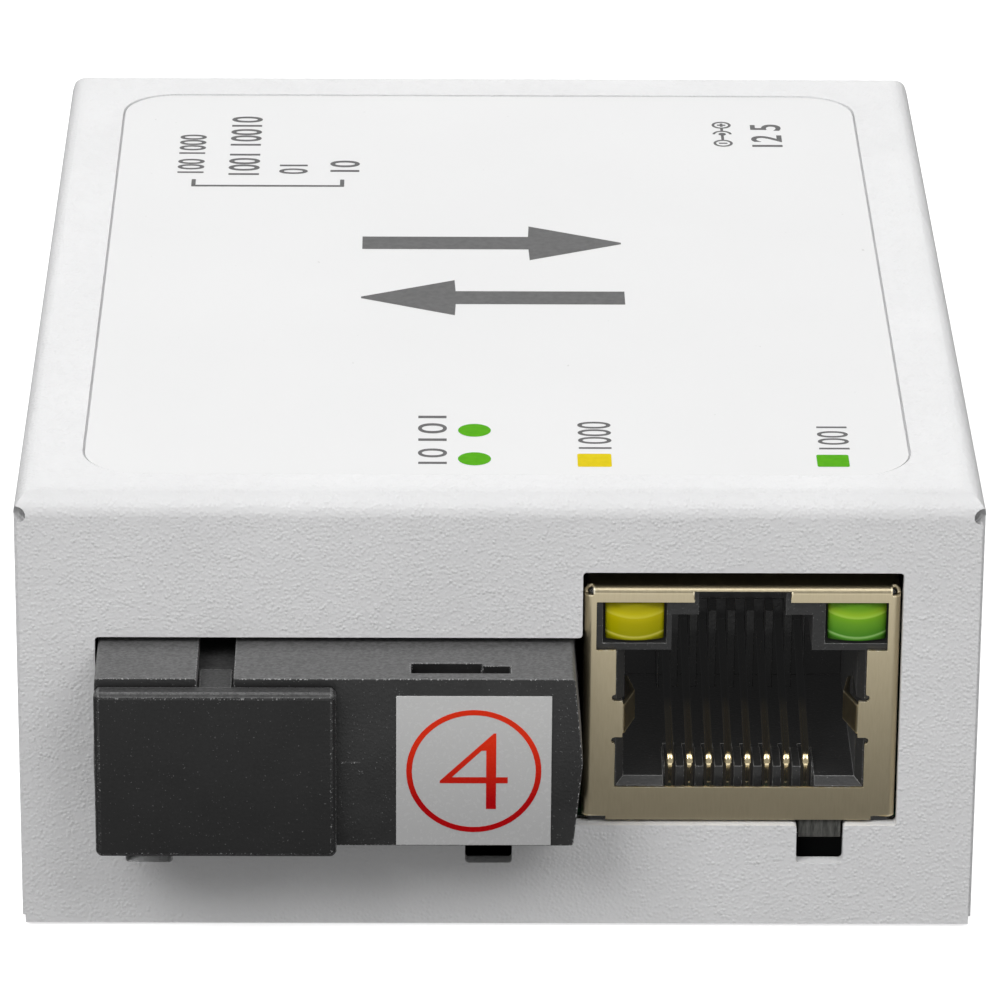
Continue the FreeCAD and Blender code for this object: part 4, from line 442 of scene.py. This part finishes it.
# A faint painted glow, standing in for light inside the jack's shaded hollow.
shader.inputs["Emission Color"].default_value = (1, 1, 1, 1)
shader.inputs["Emission Strength"].default_value = 0.008
# The lighter edge colour is partly wear and partly painted highlight on the rounding.
rubbed_and_highlit = moulding("rubbed_edge_painted_highlight", 0.03, 0.08, 0.30, (0.24, 0.36), 0.10, 0.30, rare=0.68)
dress("rj45_housing", glowing_filled_nylon, 0.06 * MM, rubbed_and_highlit)

# The contacts are gold plated as far as their knees; behind them the colour is painted near black as the shade
# inside the jack, and the whole contact has a faint painted glow.
KNEE_BEHIND = 3.6 * MM          # from the front of the contacts
KNEE_FADE = 1.2 * MM
gold_then_painted_shade, tree, shader = material("gold_knee_painted_shade")
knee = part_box("rj45_contacts")[0].y + KNEE_BEHIND
tree.links.new(two_colours(tree, spread(tree, axes_of(tree)["Y"], 0.0, 1.0, knee, knee + KNEE_FADE),
                           (0.86, 0.72, 0.44), (0.10, 0.10, 0.105), 0.0, 1.0), shader.inputs["Base Color"])
tree.links.new(spread(tree, noise(tree, 6000.0), 0.10, 0.20), shader.inputs["Roughness"])
shader.inputs["Metallic"].default_value = 1.0
# A faint painted glow, standing in for light inside the shaded jack.
shader.inputs["Emission Color"].default_value = (1, 1, 1, 1)
shader.inputs["Emission Strength"].default_value = 0.009
dress("rj45_contacts", gold_then_painted_shade, 0.12 * MM)

nickel, tree, shader = material("brushed_nickel")
brush = noise(tree, 1300.0, 3.0, (9, 9, 1))
tree.links.new(two_colours(tree, brush, (0.575, 0.497, 0.332), (0.615, 0.535, 0.368)), shader.inputs["Base Color"])
tree.links.new(spread(tree, brush, 0.28, 0.35), shader.inputs["Roughness"])
relief(tree, shader, noise(tree, 3600.0, 2.0, (3, 3, 1)), 0.0000014)
shader.inputs["Metallic"].default_value = 1.0

bare_brass, tree, shader = mottled("sheared_brass_edge", ((0.74, 0.60, 0.32), (0.96, 0.90, 0.74)), (3500.0, 3.0),
                                   (0.36, 0.50), (5000.0,), metallic=1.0)
dress("rj45_shield", nickel, 0.09 * MM, bare_brass)
# The thin sheet keeps one width of rounding right up to the roots of its fingers.
lip = nodes["rj45_shield"].modifiers["edges"]
lip.offset_type = "ABSOLUTE"
lip.use_clamp_overlap = False


# --- Lamps of the jack ------------------------------------------------------
# Two moulded lamps, one of yellow and one of green epoxy, polished on the face,
# with painted shade deepening towards the bottom and painted highlight bands across them.

# The painted highlight and shade bands curve down in the middle, as reflections on a rounded face do.
LIGHT_BAND_SAG = -0.13                # the bands of colour sag in the middle, by this share of a lamp's height


def lamp_epoxy(name, node, colours):
    """Tinted epoxy with painted light: shade deepening downwards and under its top, a highlight band across it and a
    bright line round its foot.
    """
    made, tree, shader = material(name)
    low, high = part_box(node)
    axes = axes_of(tree)
    across = spread(tree, axes["X"], -1.0, 1.0, low.x, high.x)
    height = spread(tree, axes["Z"], 0.0, 1.0, low.z, high.z)
    sagging_light_bands = sums(tree, "MULTIPLY_ADD", sums(tree, "MULTIPLY", across, across), LIGHT_BAND_SAG, height)
    tree.links.new(colours_along(tree, sagging_light_bands, colours), shader.inputs["Base Color"])
    tree.links.new(spread(tree, noise(tree, 1500.0), 0.12, 0.20), shader.inputs["Roughness"])
    relief(tree, shader, noise(tree, 900.0, 1.0), 0.00001, 0.4)
    shader.inputs["Specular IOR Level"].default_value = 0.12
    dress(node, made, 0.10 * MM)


# Each ramp is the lamp's tint with painted light: bright bands for highlights, deeper bands for shade.
lamp_epoxy("yellow_epoxy", "rj45_lamp_yellow", (
    (0.0, (0.20, 0.19, 0.0)), (0.05, (0.42, 0.40, 0.002)), (0.10, (0.70, 0.66, 0.10)), (0.14, (0.40, 0.38, 0.001)),
    (0.42, (0.50, 0.45, 0.001)), (0.56, (0.62, 0.54, 0.003)), (0.60, (0.78, 0.71, 0.05)), (0.68, (0.70, 0.62, 0.01)),
    (0.82, (0.52, 0.46, 0.004)), (1.0, (0.46, 0.42, 0.002))))
lamp_epoxy("green_epoxy", "rj45_lamp_green", (
    (0.0, (0.04, 0.14, 0.01)), (0.05, (0.08, 0.30, 0.02)), (0.10, (0.34, 0.62, 0.18)), (0.14, (0.08, 0.28, 0.02)),
    (0.42, (0.16, 0.40, 0.025)), (0.56, (0.22, 0.50, 0.02)), (0.60, (0.46, 0.74, 0.08)), (0.68, (0.36, 0.62, 0.03)),
    (0.82, (0.20, 0.46, 0.02)), (1.0, (0.14, 0.40, 0.015))))
dress("rj45_lamp_leads", tinned, 0.03 * MM)


# --- Optical transceiver ----------------------------------------------------
# A black moulding with a fine matt skin and a slot in its roof, closed below by
# a plate. Inside are the turned sleeve, the latch clip and two rows of pins.

# Its tops carry a pale film, partly dust and partly painted light, and its edges are painted lighter, partly wear
# and partly painted highlight.
matt_black = moulding("matt_black_moulding", 0.008, 0.019, 0.12, (0.34, 0.46), 0.20, 0.14)
worn_and_highlit_black = moulding("worn_black_edge_painted_highlight", 0.02, 0.06, 0.45, (0.22, 0.36), 0.20, 0.22, 0.00003, 0.62)
dress("transceiver_housing", matt_black, 0.07 * MM, worn_and_highlit_black)
dress("transceiver_floor", matt_black, 0.05 * MM, worn_and_highlit_black)

gold, tree, shader = mottled("gold_plate", ((0.78, 0.62, 0.34), (0.90, 0.76, 0.48)), (3000.0,),
                             (0.10, 0.22), (6000.0,), metallic=1.0)
dress("transceiver_pins", gold, 0.03 * MM)

# A short raised line on the face, where the moulding was broken off its feed.
MARK_FROM_LEFT = 13.2 * MM
MARK_HEIGHT = 11.4 * MM         # above the desk
MARK_SIZE = (1.0 * MM, 0.03 * MM, 0.09 * MM)
low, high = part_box("transceiver_housing")
bpy.ops.object.select_all(action="DESELECT")
bpy.ops.mesh.primitive_cube_add(size=1, location=(low.x + MARK_FROM_LEFT, low.y - 0.005 * MM, MARK_HEIGHT))
mark = bpy.context.object
mark.scale = MARK_SIZE
bpy.ops.object.transform_apply(location=False, rotation=False, scale=True)
bpy.ops.object.mode_set(mode="EDIT")
bpy.ops.mesh.select_all(action="SELECT")
bpy.ops.mesh.bevel(offset=0.012 * MM, segments=2)
bpy.ops.object.mode_set(mode="OBJECT")
# The mark takes the lighter edge finish, partly wear and partly painted highlight.
settle(mark, "gate_mark", worn_and_highlit_black, "case")

turned, tree, shader = mottled("turned_steel", ((0.60, 0.60, 0.61), (0.72, 0.72, 0.73)), (2600.0, 2.0, (1, 12, 1)),
                               (0.16, 0.30), (4000.0, 2.0, (1, 12, 1)), metallic=1.0)
dress("optical_barrel", turned, 0.05 * MM)

clip_grey = moulding("clip_moulding", 0.030, 0.045, 0.14, (0.30, 0.42), 0.10)
dress("sc_latch_clip", clip_grey, 0.05 * MM)


# --- Dust cap ---------------------------------------------------------------
# A soft black cap that pulls out of the fibre socket. Its flange is flat with
# rounded edges painted lighter as a highlight, and its tops carry a pale film of dust and painted light.

soft_black = moulding("soft_black_cap", 0.004, 0.008, 0.09, (0.50, 0.62), 0.04, 0.07, rare=0.785)
soft_highlit_edge = moulding("soft_black_edge_painted_highlight", 0.010, 0.022, 0.26, (0.24, 0.36), 0.16, 0.16, 0.00003, 0.69)
dress("dust_cap", soft_black, 0.12 * MM, soft_highlit_edge)


# --- Port sticker -----------------------------------------------------------
# A square of glossy white paper on the transceiver's face, printed with a
# plain number in a red ring.

paper, tree, shader = material("sticker_paper")
low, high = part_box("port_sticker")
painted_light_upwards = spread(tree, axes_of(tree)["Z"], 0.0, 1.0, low.z, high.z)
# Painted shade: the paper is darker towards the bottom and lighter at the top.
tree.links.new(two_colours(tree, painted_light_upwards, (0.50, 0.50, 0.50), (0.66, 0.66, 0.655), 0.1, 0.9),
               shader.inputs["Base Color"])
tree.links.new(spread(tree, noise(tree, 6000.0), 0.20, 0.30), shader.inputs["Roughness"])
relief(tree, shader, noise(tree, 5200.0, 2.0), 0.000003)
dress("port_sticker", paper, 0.01 * MM)

red_ink, tree, shader = material("red_ink")
low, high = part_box("port_sticker")
painted_light_upwards = spread(tree, axes_of(tree)["Z"], 0.0, 1.0, low.z, high.z)
# Painted shade: the red ink too is darker towards the bottom and lighter at the top.
tree.links.new(two_colours(tree, painted_light_upwards, (0.46, 0.001, 0.003), (0.86, 0.035, 0.008)), shader.inputs["Base Color"])
tree.links.new(spread(tree, noise(tree, 7000.0), 0.20, 0.32), shader.inputs["Roughness"])
shader.inputs["Specular IOR Level"].default_value = 0.10


def lettering(name, words, width, height, turn, middle, finish, body, thin=0.0):
    """Printed characters, set to a width and height, turned and laid on a surface."""
    bpy.ops.object.select_all(action="DESELECT")
    bpy.ops.object.text_add()
    bpy.context.object.data.body = words
    bpy.context.object.data.extrude = 0.5
    bpy.context.object.data.offset = -thin
    bpy.context.object.data.resolution_u = 6
    bpy.ops.object.convert(target="MESH")
    piece = bpy.context.object
    bpy.ops.object.mode_set(mode="EDIT")
    bpy.ops.mesh.select_all(action="SELECT")
    bpy.ops.mesh.remove_doubles(threshold=0.0001)
    bpy.ops.object.mode_set(mode="OBJECT")
    bpy.ops.object.origin_set(type="ORIGIN_GEOMETRY", center="BOUNDS")
    size = piece.dimensions
    piece.scale = (width / size.x, height / size.y, INK / size.z)
    piece.rotation_euler = turn
    piece.location = middle
    settle(piece, name, finish, body)


def printed_ring(name, middle, radius, stroke, turn, rise, finish, half=False):
    """A ring of ink, or the half of one, raised from a surface."""
    bpy.ops.object.select_all(action="DESELECT")
    bpy.ops.mesh.primitive_circle_add(vertices=64, radius=radius, fill_type="NGON", rotation=turn, location=middle)
    ring = bpy.context.object
    bpy.ops.object.transform_apply(location=True, rotation=True, scale=True)
    bpy.ops.object.mode_set(mode="EDIT")
    bpy.ops.mesh.select_all(action="SELECT")
    bpy.ops.mesh.inset(thickness=stroke)
    bpy.ops.mesh.delete(type="FACE")
    bpy.ops.object.mode_set(mode="OBJECT")
    for polygon in ring.data.polygons:
        polygon.select = half and polygon.center.y < middle[1]
    bpy.ops.object.mode_set(mode="EDIT")
    bpy.ops.mesh.select_mode(type="FACE")
    bpy.ops.mesh.delete(type="FACE")
    bpy.ops.mesh.select_all(action="SELECT")
    bpy.ops.mesh.extrude_region_move(TRANSFORM_OT_translate={"value": rise})
    bpy.ops.object.mode_set(mode="OBJECT")
    settle(ring, name, finish, "case")


RING_RADIUS = 3.475 * MM
RING_STROKE = 0.29 * MM
low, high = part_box("port_sticker")
centre = (low + high) / 2
face = low.y - INK / 2
upright = (math.radians(90), 0, 0)
printed_ring("sticker_ring", (centre.x, low.y - INK, centre.z), RING_RADIUS, RING_STROKE, upright, (0, INK, 0),
             red_ink)
lettering("sticker_number", "4", 3.5 * MM, 4.3 * MM, upright, (centre.x, face, centre.z), red_ink,
          "case", 0.018)


# --- Power inlet ------------------------------------------------------------
# A black moulded inlet with a plated centre pin and a tinned spring leaf.

inlet_black = moulding("inlet_moulding", 0.014, 0.020, 0.12, (0.34, 0.48), 0.15, 0.05)
# Its edges are painted lighter, partly wear and partly painted highlight, and its tops paler with dust and painted
# light.
dress("dc_jack_body", inlet_black, 0.08 * MM, worn_and_highlit_black)

bright_pin, tree, shader = mottled("nickel_pin", ((0.66, 0.64, 0.60), (0.76, 0.74, 0.70)), (3000.0, 2.0, (1, 10, 1)),
                                   (0.12, 0.24), (5000.0, 2.0, (1, 10, 1)), metallic=1.0)
dress("dc_jack_pin", bright_pin, 0.04 * MM)
dress("dc_jack_spring", tinned, 0.03 * MM)


# --- Setting switches -------------------------------------------------------
# A four-way slide switch: a black moulding with white sliders, and its number
# printed under each slider in white.

switch_black = moulding("switch_moulding", 0.018, 0.026, 0.12, (0.38, 0.52), 0.12, 0.05)
# Its edges are painted lighter, partly wear and partly painted highlight, and its tops paler with dust and painted
# light.
dress("dip_body", switch_black, 0.06 * MM, worn_and_highlit_black)
dress("dip_pins", tinned, 0.03 * MM)
for way in range(1, 5):
    dress("dip_slider_%d" % way, cream, 0.06 * MM)

# The sliders count from the left as seen from the front, and the print from the left as seen from behind.
DIGIT_WIDTH = 0.5 * MM
ONE_WIDTH = 0.14 * MM           # the digit 1 is one thin stroke
PRINT_HEIGHT = 0.8 * MM
low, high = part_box("dip_body")
from_behind = (math.radians(90), 0, math.radians(180))
for way in range(1, 5):
    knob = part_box("dip_slider_%d" % way)
    middle = Vector(((knob[0].x + knob[1].x) / 2, high.y + INK / 2, (low.z + knob[0].z) / 2))
    lettering("switch_number_%d" % way, str(5 - way), ONE_WIDTH if way == 4 else DIGIT_WIDTH, PRINT_HEIGHT,
              from_behind, middle, ink_white, "case")
lettering("switch_on", "ON", 1.3 * MM, PRINT_HEIGHT, from_behind,
          (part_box("dip_slider_4")[1].x - 0.9 * MM, high.y + INK / 2, high.z - 0.7 * MM), ink_white,
          "case")


# --- Light guide ------------------------------------------------------------
# One clear acrylic moulding with two arms, which carries the board's lamps up
# to the label's windows.

acrylic, tree, shader = mottled("clear_acrylic", ((0.90, 0.93, 0.94), (0.95, 0.97, 0.97)), (300.0,),
                                (0.02, 0.07), (900.0,))
shader.inputs["Transmission Weight"].default_value = 0.92
shader.inputs["IOR"].default_value = 1.49
dress("light_guide", acrylic, 0.05 * MM)


# --- Powder-coated cover ----------------------------------------------------
# One folded sheet, coated white inside and out. The powder melts to a fine
# orange peel with a soft gloss.

powder, tree, shader = mottled("white_powder_coat", ((0.84, 0.84, 0.845), (0.88, 0.88, 0.885)), (140.0,),
                               (0.36, 0.52), (2500.0,))
place = tree.nodes.new("ShaderNodeTexCoord")
grains = tree.nodes.new("ShaderNodeTexVoronoi")
grains.inputs["Scale"].default_value = 4700.0
tree.links.new(place.outputs["Object"], grains.inputs["Vector"])
patchy = sums(tree, "MULTIPLY", spread(tree, grains.outputs["Distance"], 1.0, 0.0, 0.05, 0.62),
              spread(tree, noise(tree, 1500.0, 1.0), 0.35, 1.0))
peel = relief(tree, shader, noise(tree, 1100.0, 1.0), 0.00003, 0.6)
domes = relief(tree, shader, patchy, 0.000030, 1.0, under=peel)
relief(tree, shader, noise(tree, 9000.0, 1.0), 0.000009, 0.6, under=domes)
dress("top_cover", powder, 0.12 * MM)


# --- Cover screws -----------------------------------------------------------
# Four countersunk machine screws with cross recesses, nickel plated. The same
# finish is on the pan-head screws that hold the board.

screw_nickel, tree, shader = mottled("nickel_screw", ((0.72, 0.71, 0.69), (0.82, 0.81, 0.79)), (1200.0, 2.0),
                                     (0.30, 0.44), (2400.0, 2.0), metallic=1.0)
dress("cover_screws", screw_nickel, 0.05 * MM)
dress("board_screws", screw_nickel, 0.05 * MM)


# --- Label ------------------------------------------------------------------
# A satin white film in the cover's recess. Two green dots stand over the light
# guide. The rest is two squares, grey numbers, a bracket, the inlet's sign and
# a pair of opposed arrows.

film, tree, shader = material("label_film")
white = two_colours(tree, noise(tree, 60.0), (0.81, 0.81, 0.81), (0.83, 0.83, 0.83))
specks = spread(tree, noise(tree, 2400.0, 1.0, (1, 0.6, 1)), 0.0, 1.0, 0.80, 0.85)
tree.links.new(laid_over(tree, specks, white, (0.66, 0.66, 0.65)), shader.inputs["Base Color"])
tree.links.new(spread(tree, noise(tree, 5000.0), 0.30, 0.40), shader.inputs["Roughness"])
relief(tree, shader, noise(tree, 5200.0), 0.000004)
dress("overlay_label", film, 0.02 * MM)


def ink(name, colour, paler):
    """A flat screen-printed ink, with a faint mottle."""
    made, tree, shader = mottled(name, (colour, paler), (3000.0,), (0.32, 0.42), (5000.0,))
    shader.inputs["Specular IOR Level"].default_value = 0.01
    return made


grey_ink = ink("grey_ink", (0.15, 0.15, 0.15), (0.18, 0.18, 0.18))
green_ink = ink("green_ink", (0.09, 0.42, 0.001), (0.11, 0.47, 0.002))
yellow_ink = ink("yellow_ink", (0.78, 0.61, 0.001), (0.84, 0.66, 0.002))
corner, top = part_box("overlay_label")
LABEL_TOP = top.z


def printed_block(name, x, y, finish, soft=0.12):
    """A rectangle of ink with softened corners; x and y are ranges in mm from the label's corner."""
    bpy.ops.object.select_all(action="DESELECT")
    middle = (corner.x + sum(x) / 2 * MM, corner.y + sum(y) / 2 * MM, LABEL_TOP + INK / 2)
    bpy.ops.mesh.primitive_cube_add(size=1, location=middle)
    piece = bpy.context.object
    piece.scale = ((x[1] - x[0]) * MM, (y[1] - y[0]) * MM, INK)
    bpy.ops.object.transform_apply(location=False, rotation=False, scale=True)
    bpy.ops.object.mode_set(mode="EDIT")
    bpy.ops.mesh.select_mode(type="EDGE")
    bpy.ops.mesh.select_all(action="DESELECT")
    bpy.ops.object.mode_set(mode="OBJECT")
    for edge in piece.data.edges:
        a, b = (piece.data.vertices[i].co for i in edge.vertices)
        edge.select = abs(a.z - b.z) > INK / 2
    bpy.ops.object.mode_set(mode="EDIT")
    bpy.ops.mesh.bevel(offset=soft * MM, segments=3)
    bpy.ops.object.mode_set(mode="OBJECT")
    settle(piece, name, finish, "case")


for name, x, y in (("lamp_dot_rear", 20.27, 5.87), ("lamp_dot_front", 20.25, 2.05)):
    printed_dot(name, corner.x + x * MM, corner.y + y * MM, LABEL_TOP, 0.86 * MM, green_ink)
printed_block("lamp_square_yellow", (25.59, 27.36), (1.04, 2.75), yellow_ink)
printed_block("lamp_square_green", (38.02, 39.69), (1.12, 2.70), green_ink)

along = (0, 0, math.radians(90))
for name, words, x, y in (
        ("number_rear_dot", "101", (17.31, 18.83), (4.44, 7.82)),
        ("number_front_dot", "10", (17.31, 18.83), (1.37, 3.40)),
        ("number_yellow", "1000", (25.67, 27.42), (3.43, 7.06)),
        ("number_green", "1001", (38.20, 39.83), (3.45, 6.50)),
        ("number_switch_1", "100 1000", (3.38, 4.92), (44.04, 50.36)),
        ("number_switch_2", "1001 10010", (6.32, 8.12), (43.74, 53.45)),
        ("number_switch_3", "01", (9.25, 10.90), (43.93, 45.42)),
        ("number_switch_4", "10", (12.18, 13.89), (44.29, 46.11)),
        ("number_inlet", "12 5", (36.70, 38.51), (48.65, 52.37))):
    lettering(name, words, (y[1] - y[0]) * MM, (x[1] - x[0]) * MM, along,
              (corner.x + sum(x) / 2 * MM, corner.y + sum(y) / 2 * MM, LABEL_TOP + INK / 2), grey_ink,
              "case", -0.012 if y[0] > 40 else 0.0)

printed_block("bracket_line", (4.26, 13.02), (41.85, 42.09), grey_ink, 0.05)
printed_block("bracket_end_left", (4.26, 4.50), (42.09, 43.00), grey_ink, 0.05)
printed_block("bracket_end_right", (12.78, 13.02), (42.09, 43.00), grey_ink, 0.05)


def printed_arrow(name, tail, point, half, barb, middle_y, finish):
    """An arrow grown from its shaft: the end edge is spread into barbs and drawn to a point."""
    way = 1 if point > tail else -1
    neck = point - way * 2 * barb
    bpy.ops.object.select_all(action="DESELECT")
    bpy.ops.mesh.primitive_plane_add(size=1, location=((tail + neck) / 2, middle_y, LABEL_TOP))
    piece = bpy.context.object
    piece.scale = (abs(neck - tail), 2 * half, 1)
    bpy.ops.object.transform_apply(location=True, rotation=True, scale=True)
    for vertex in piece.data.vertices:
        vertex.select = abs(vertex.co.x - neck) < 1e-6
    for edge in piece.data.edges:
        edge.select = all(piece.data.vertices[i].select for i in edge.vertices)
    for polygon in piece.data.polygons:
        polygon.select = False
    bpy.ops.object.mode_set(mode="EDIT")
    bpy.ops.mesh.extrude_region_move(TRANSFORM_OT_translate={"value": (way * 0.05 * MM, 0, 0)})
    bpy.ops.transform.resize(value=(1, barb / half, 1))
    bpy.ops.mesh.extrude_region_move(TRANSFORM_OT_translate={"value": (way * (2 * barb - 0.05 * MM), 0, 0)})
    bpy.ops.transform.resize(value=(1, 0.04, 1))
    bpy.ops.object.mode_set(mode="OBJECT")
    thick = piece.modifiers.new("ink", "SOLIDIFY")
    thick.thickness = INK
    thick.offset = 1.0
    bpy.ops.object.modifier_apply(modifier="ink")
    settle(piece, name, finish, "case")


# The sign of a centre-positive inlet: a ringed minus, a half-ringed dot and a
# ringed plus, joined by lines. Places are in mm from the label's corner.
sign_x = 35.04
dot_y = 50.74
lying = (0, 0, 0)
for name, y, half in (("minus", 49.22, False), ("dot", dot_y, True), ("plus", 52.26, False)):
    printed_ring("sign_ring_" + name, (corner.x + sign_x * MM, corner.y + y * MM, LABEL_TOP), 0.56 * MM, 0.15 * MM,
                 lying, (0, 0, INK), grey_ink, half)
for name, x, y in (("minus", (-0.25, 0.25), (49.14, 49.30)), ("plus", (-0.25, 0.25), (52.18, 52.34)),
                   ("plus_across", (-0.08, 0.08), (52.00, 52.18)), ("plus_over", (-0.08, 0.08), (52.34, 52.52)),
                   ("line_minus", (-0.08, 0.08), (49.78, 50.56)), ("line_plus", (-0.08, 0.08), (51.30, 51.70))):
    printed_block("sign_" + name, (sign_x + x[0], sign_x + x[1]), y, grey_ink, 0.02)
printed_dot("sign_dot", corner.x + sign_x * MM, corner.y + dot_y * MM, LABEL_TOP, 0.22 * MM, grey_ink)

SHAFT_HALF = 0.95 * MM
BARB = 2.6 * MM
arrow_left, arrow_right = corner.x + 14.15 * MM, corner.x + 28.65 * MM
printed_arrow("arrow_out", arrow_left, arrow_right, SHAFT_HALF, BARB, corner.y + 33.0 * MM, grey_ink)
printed_arrow("arrow_back", arrow_right, arrow_left, SHAFT_HALF, BARB, corner.y + 24.7 * MM, grey_ink)

bpy.context.view_layer.update()
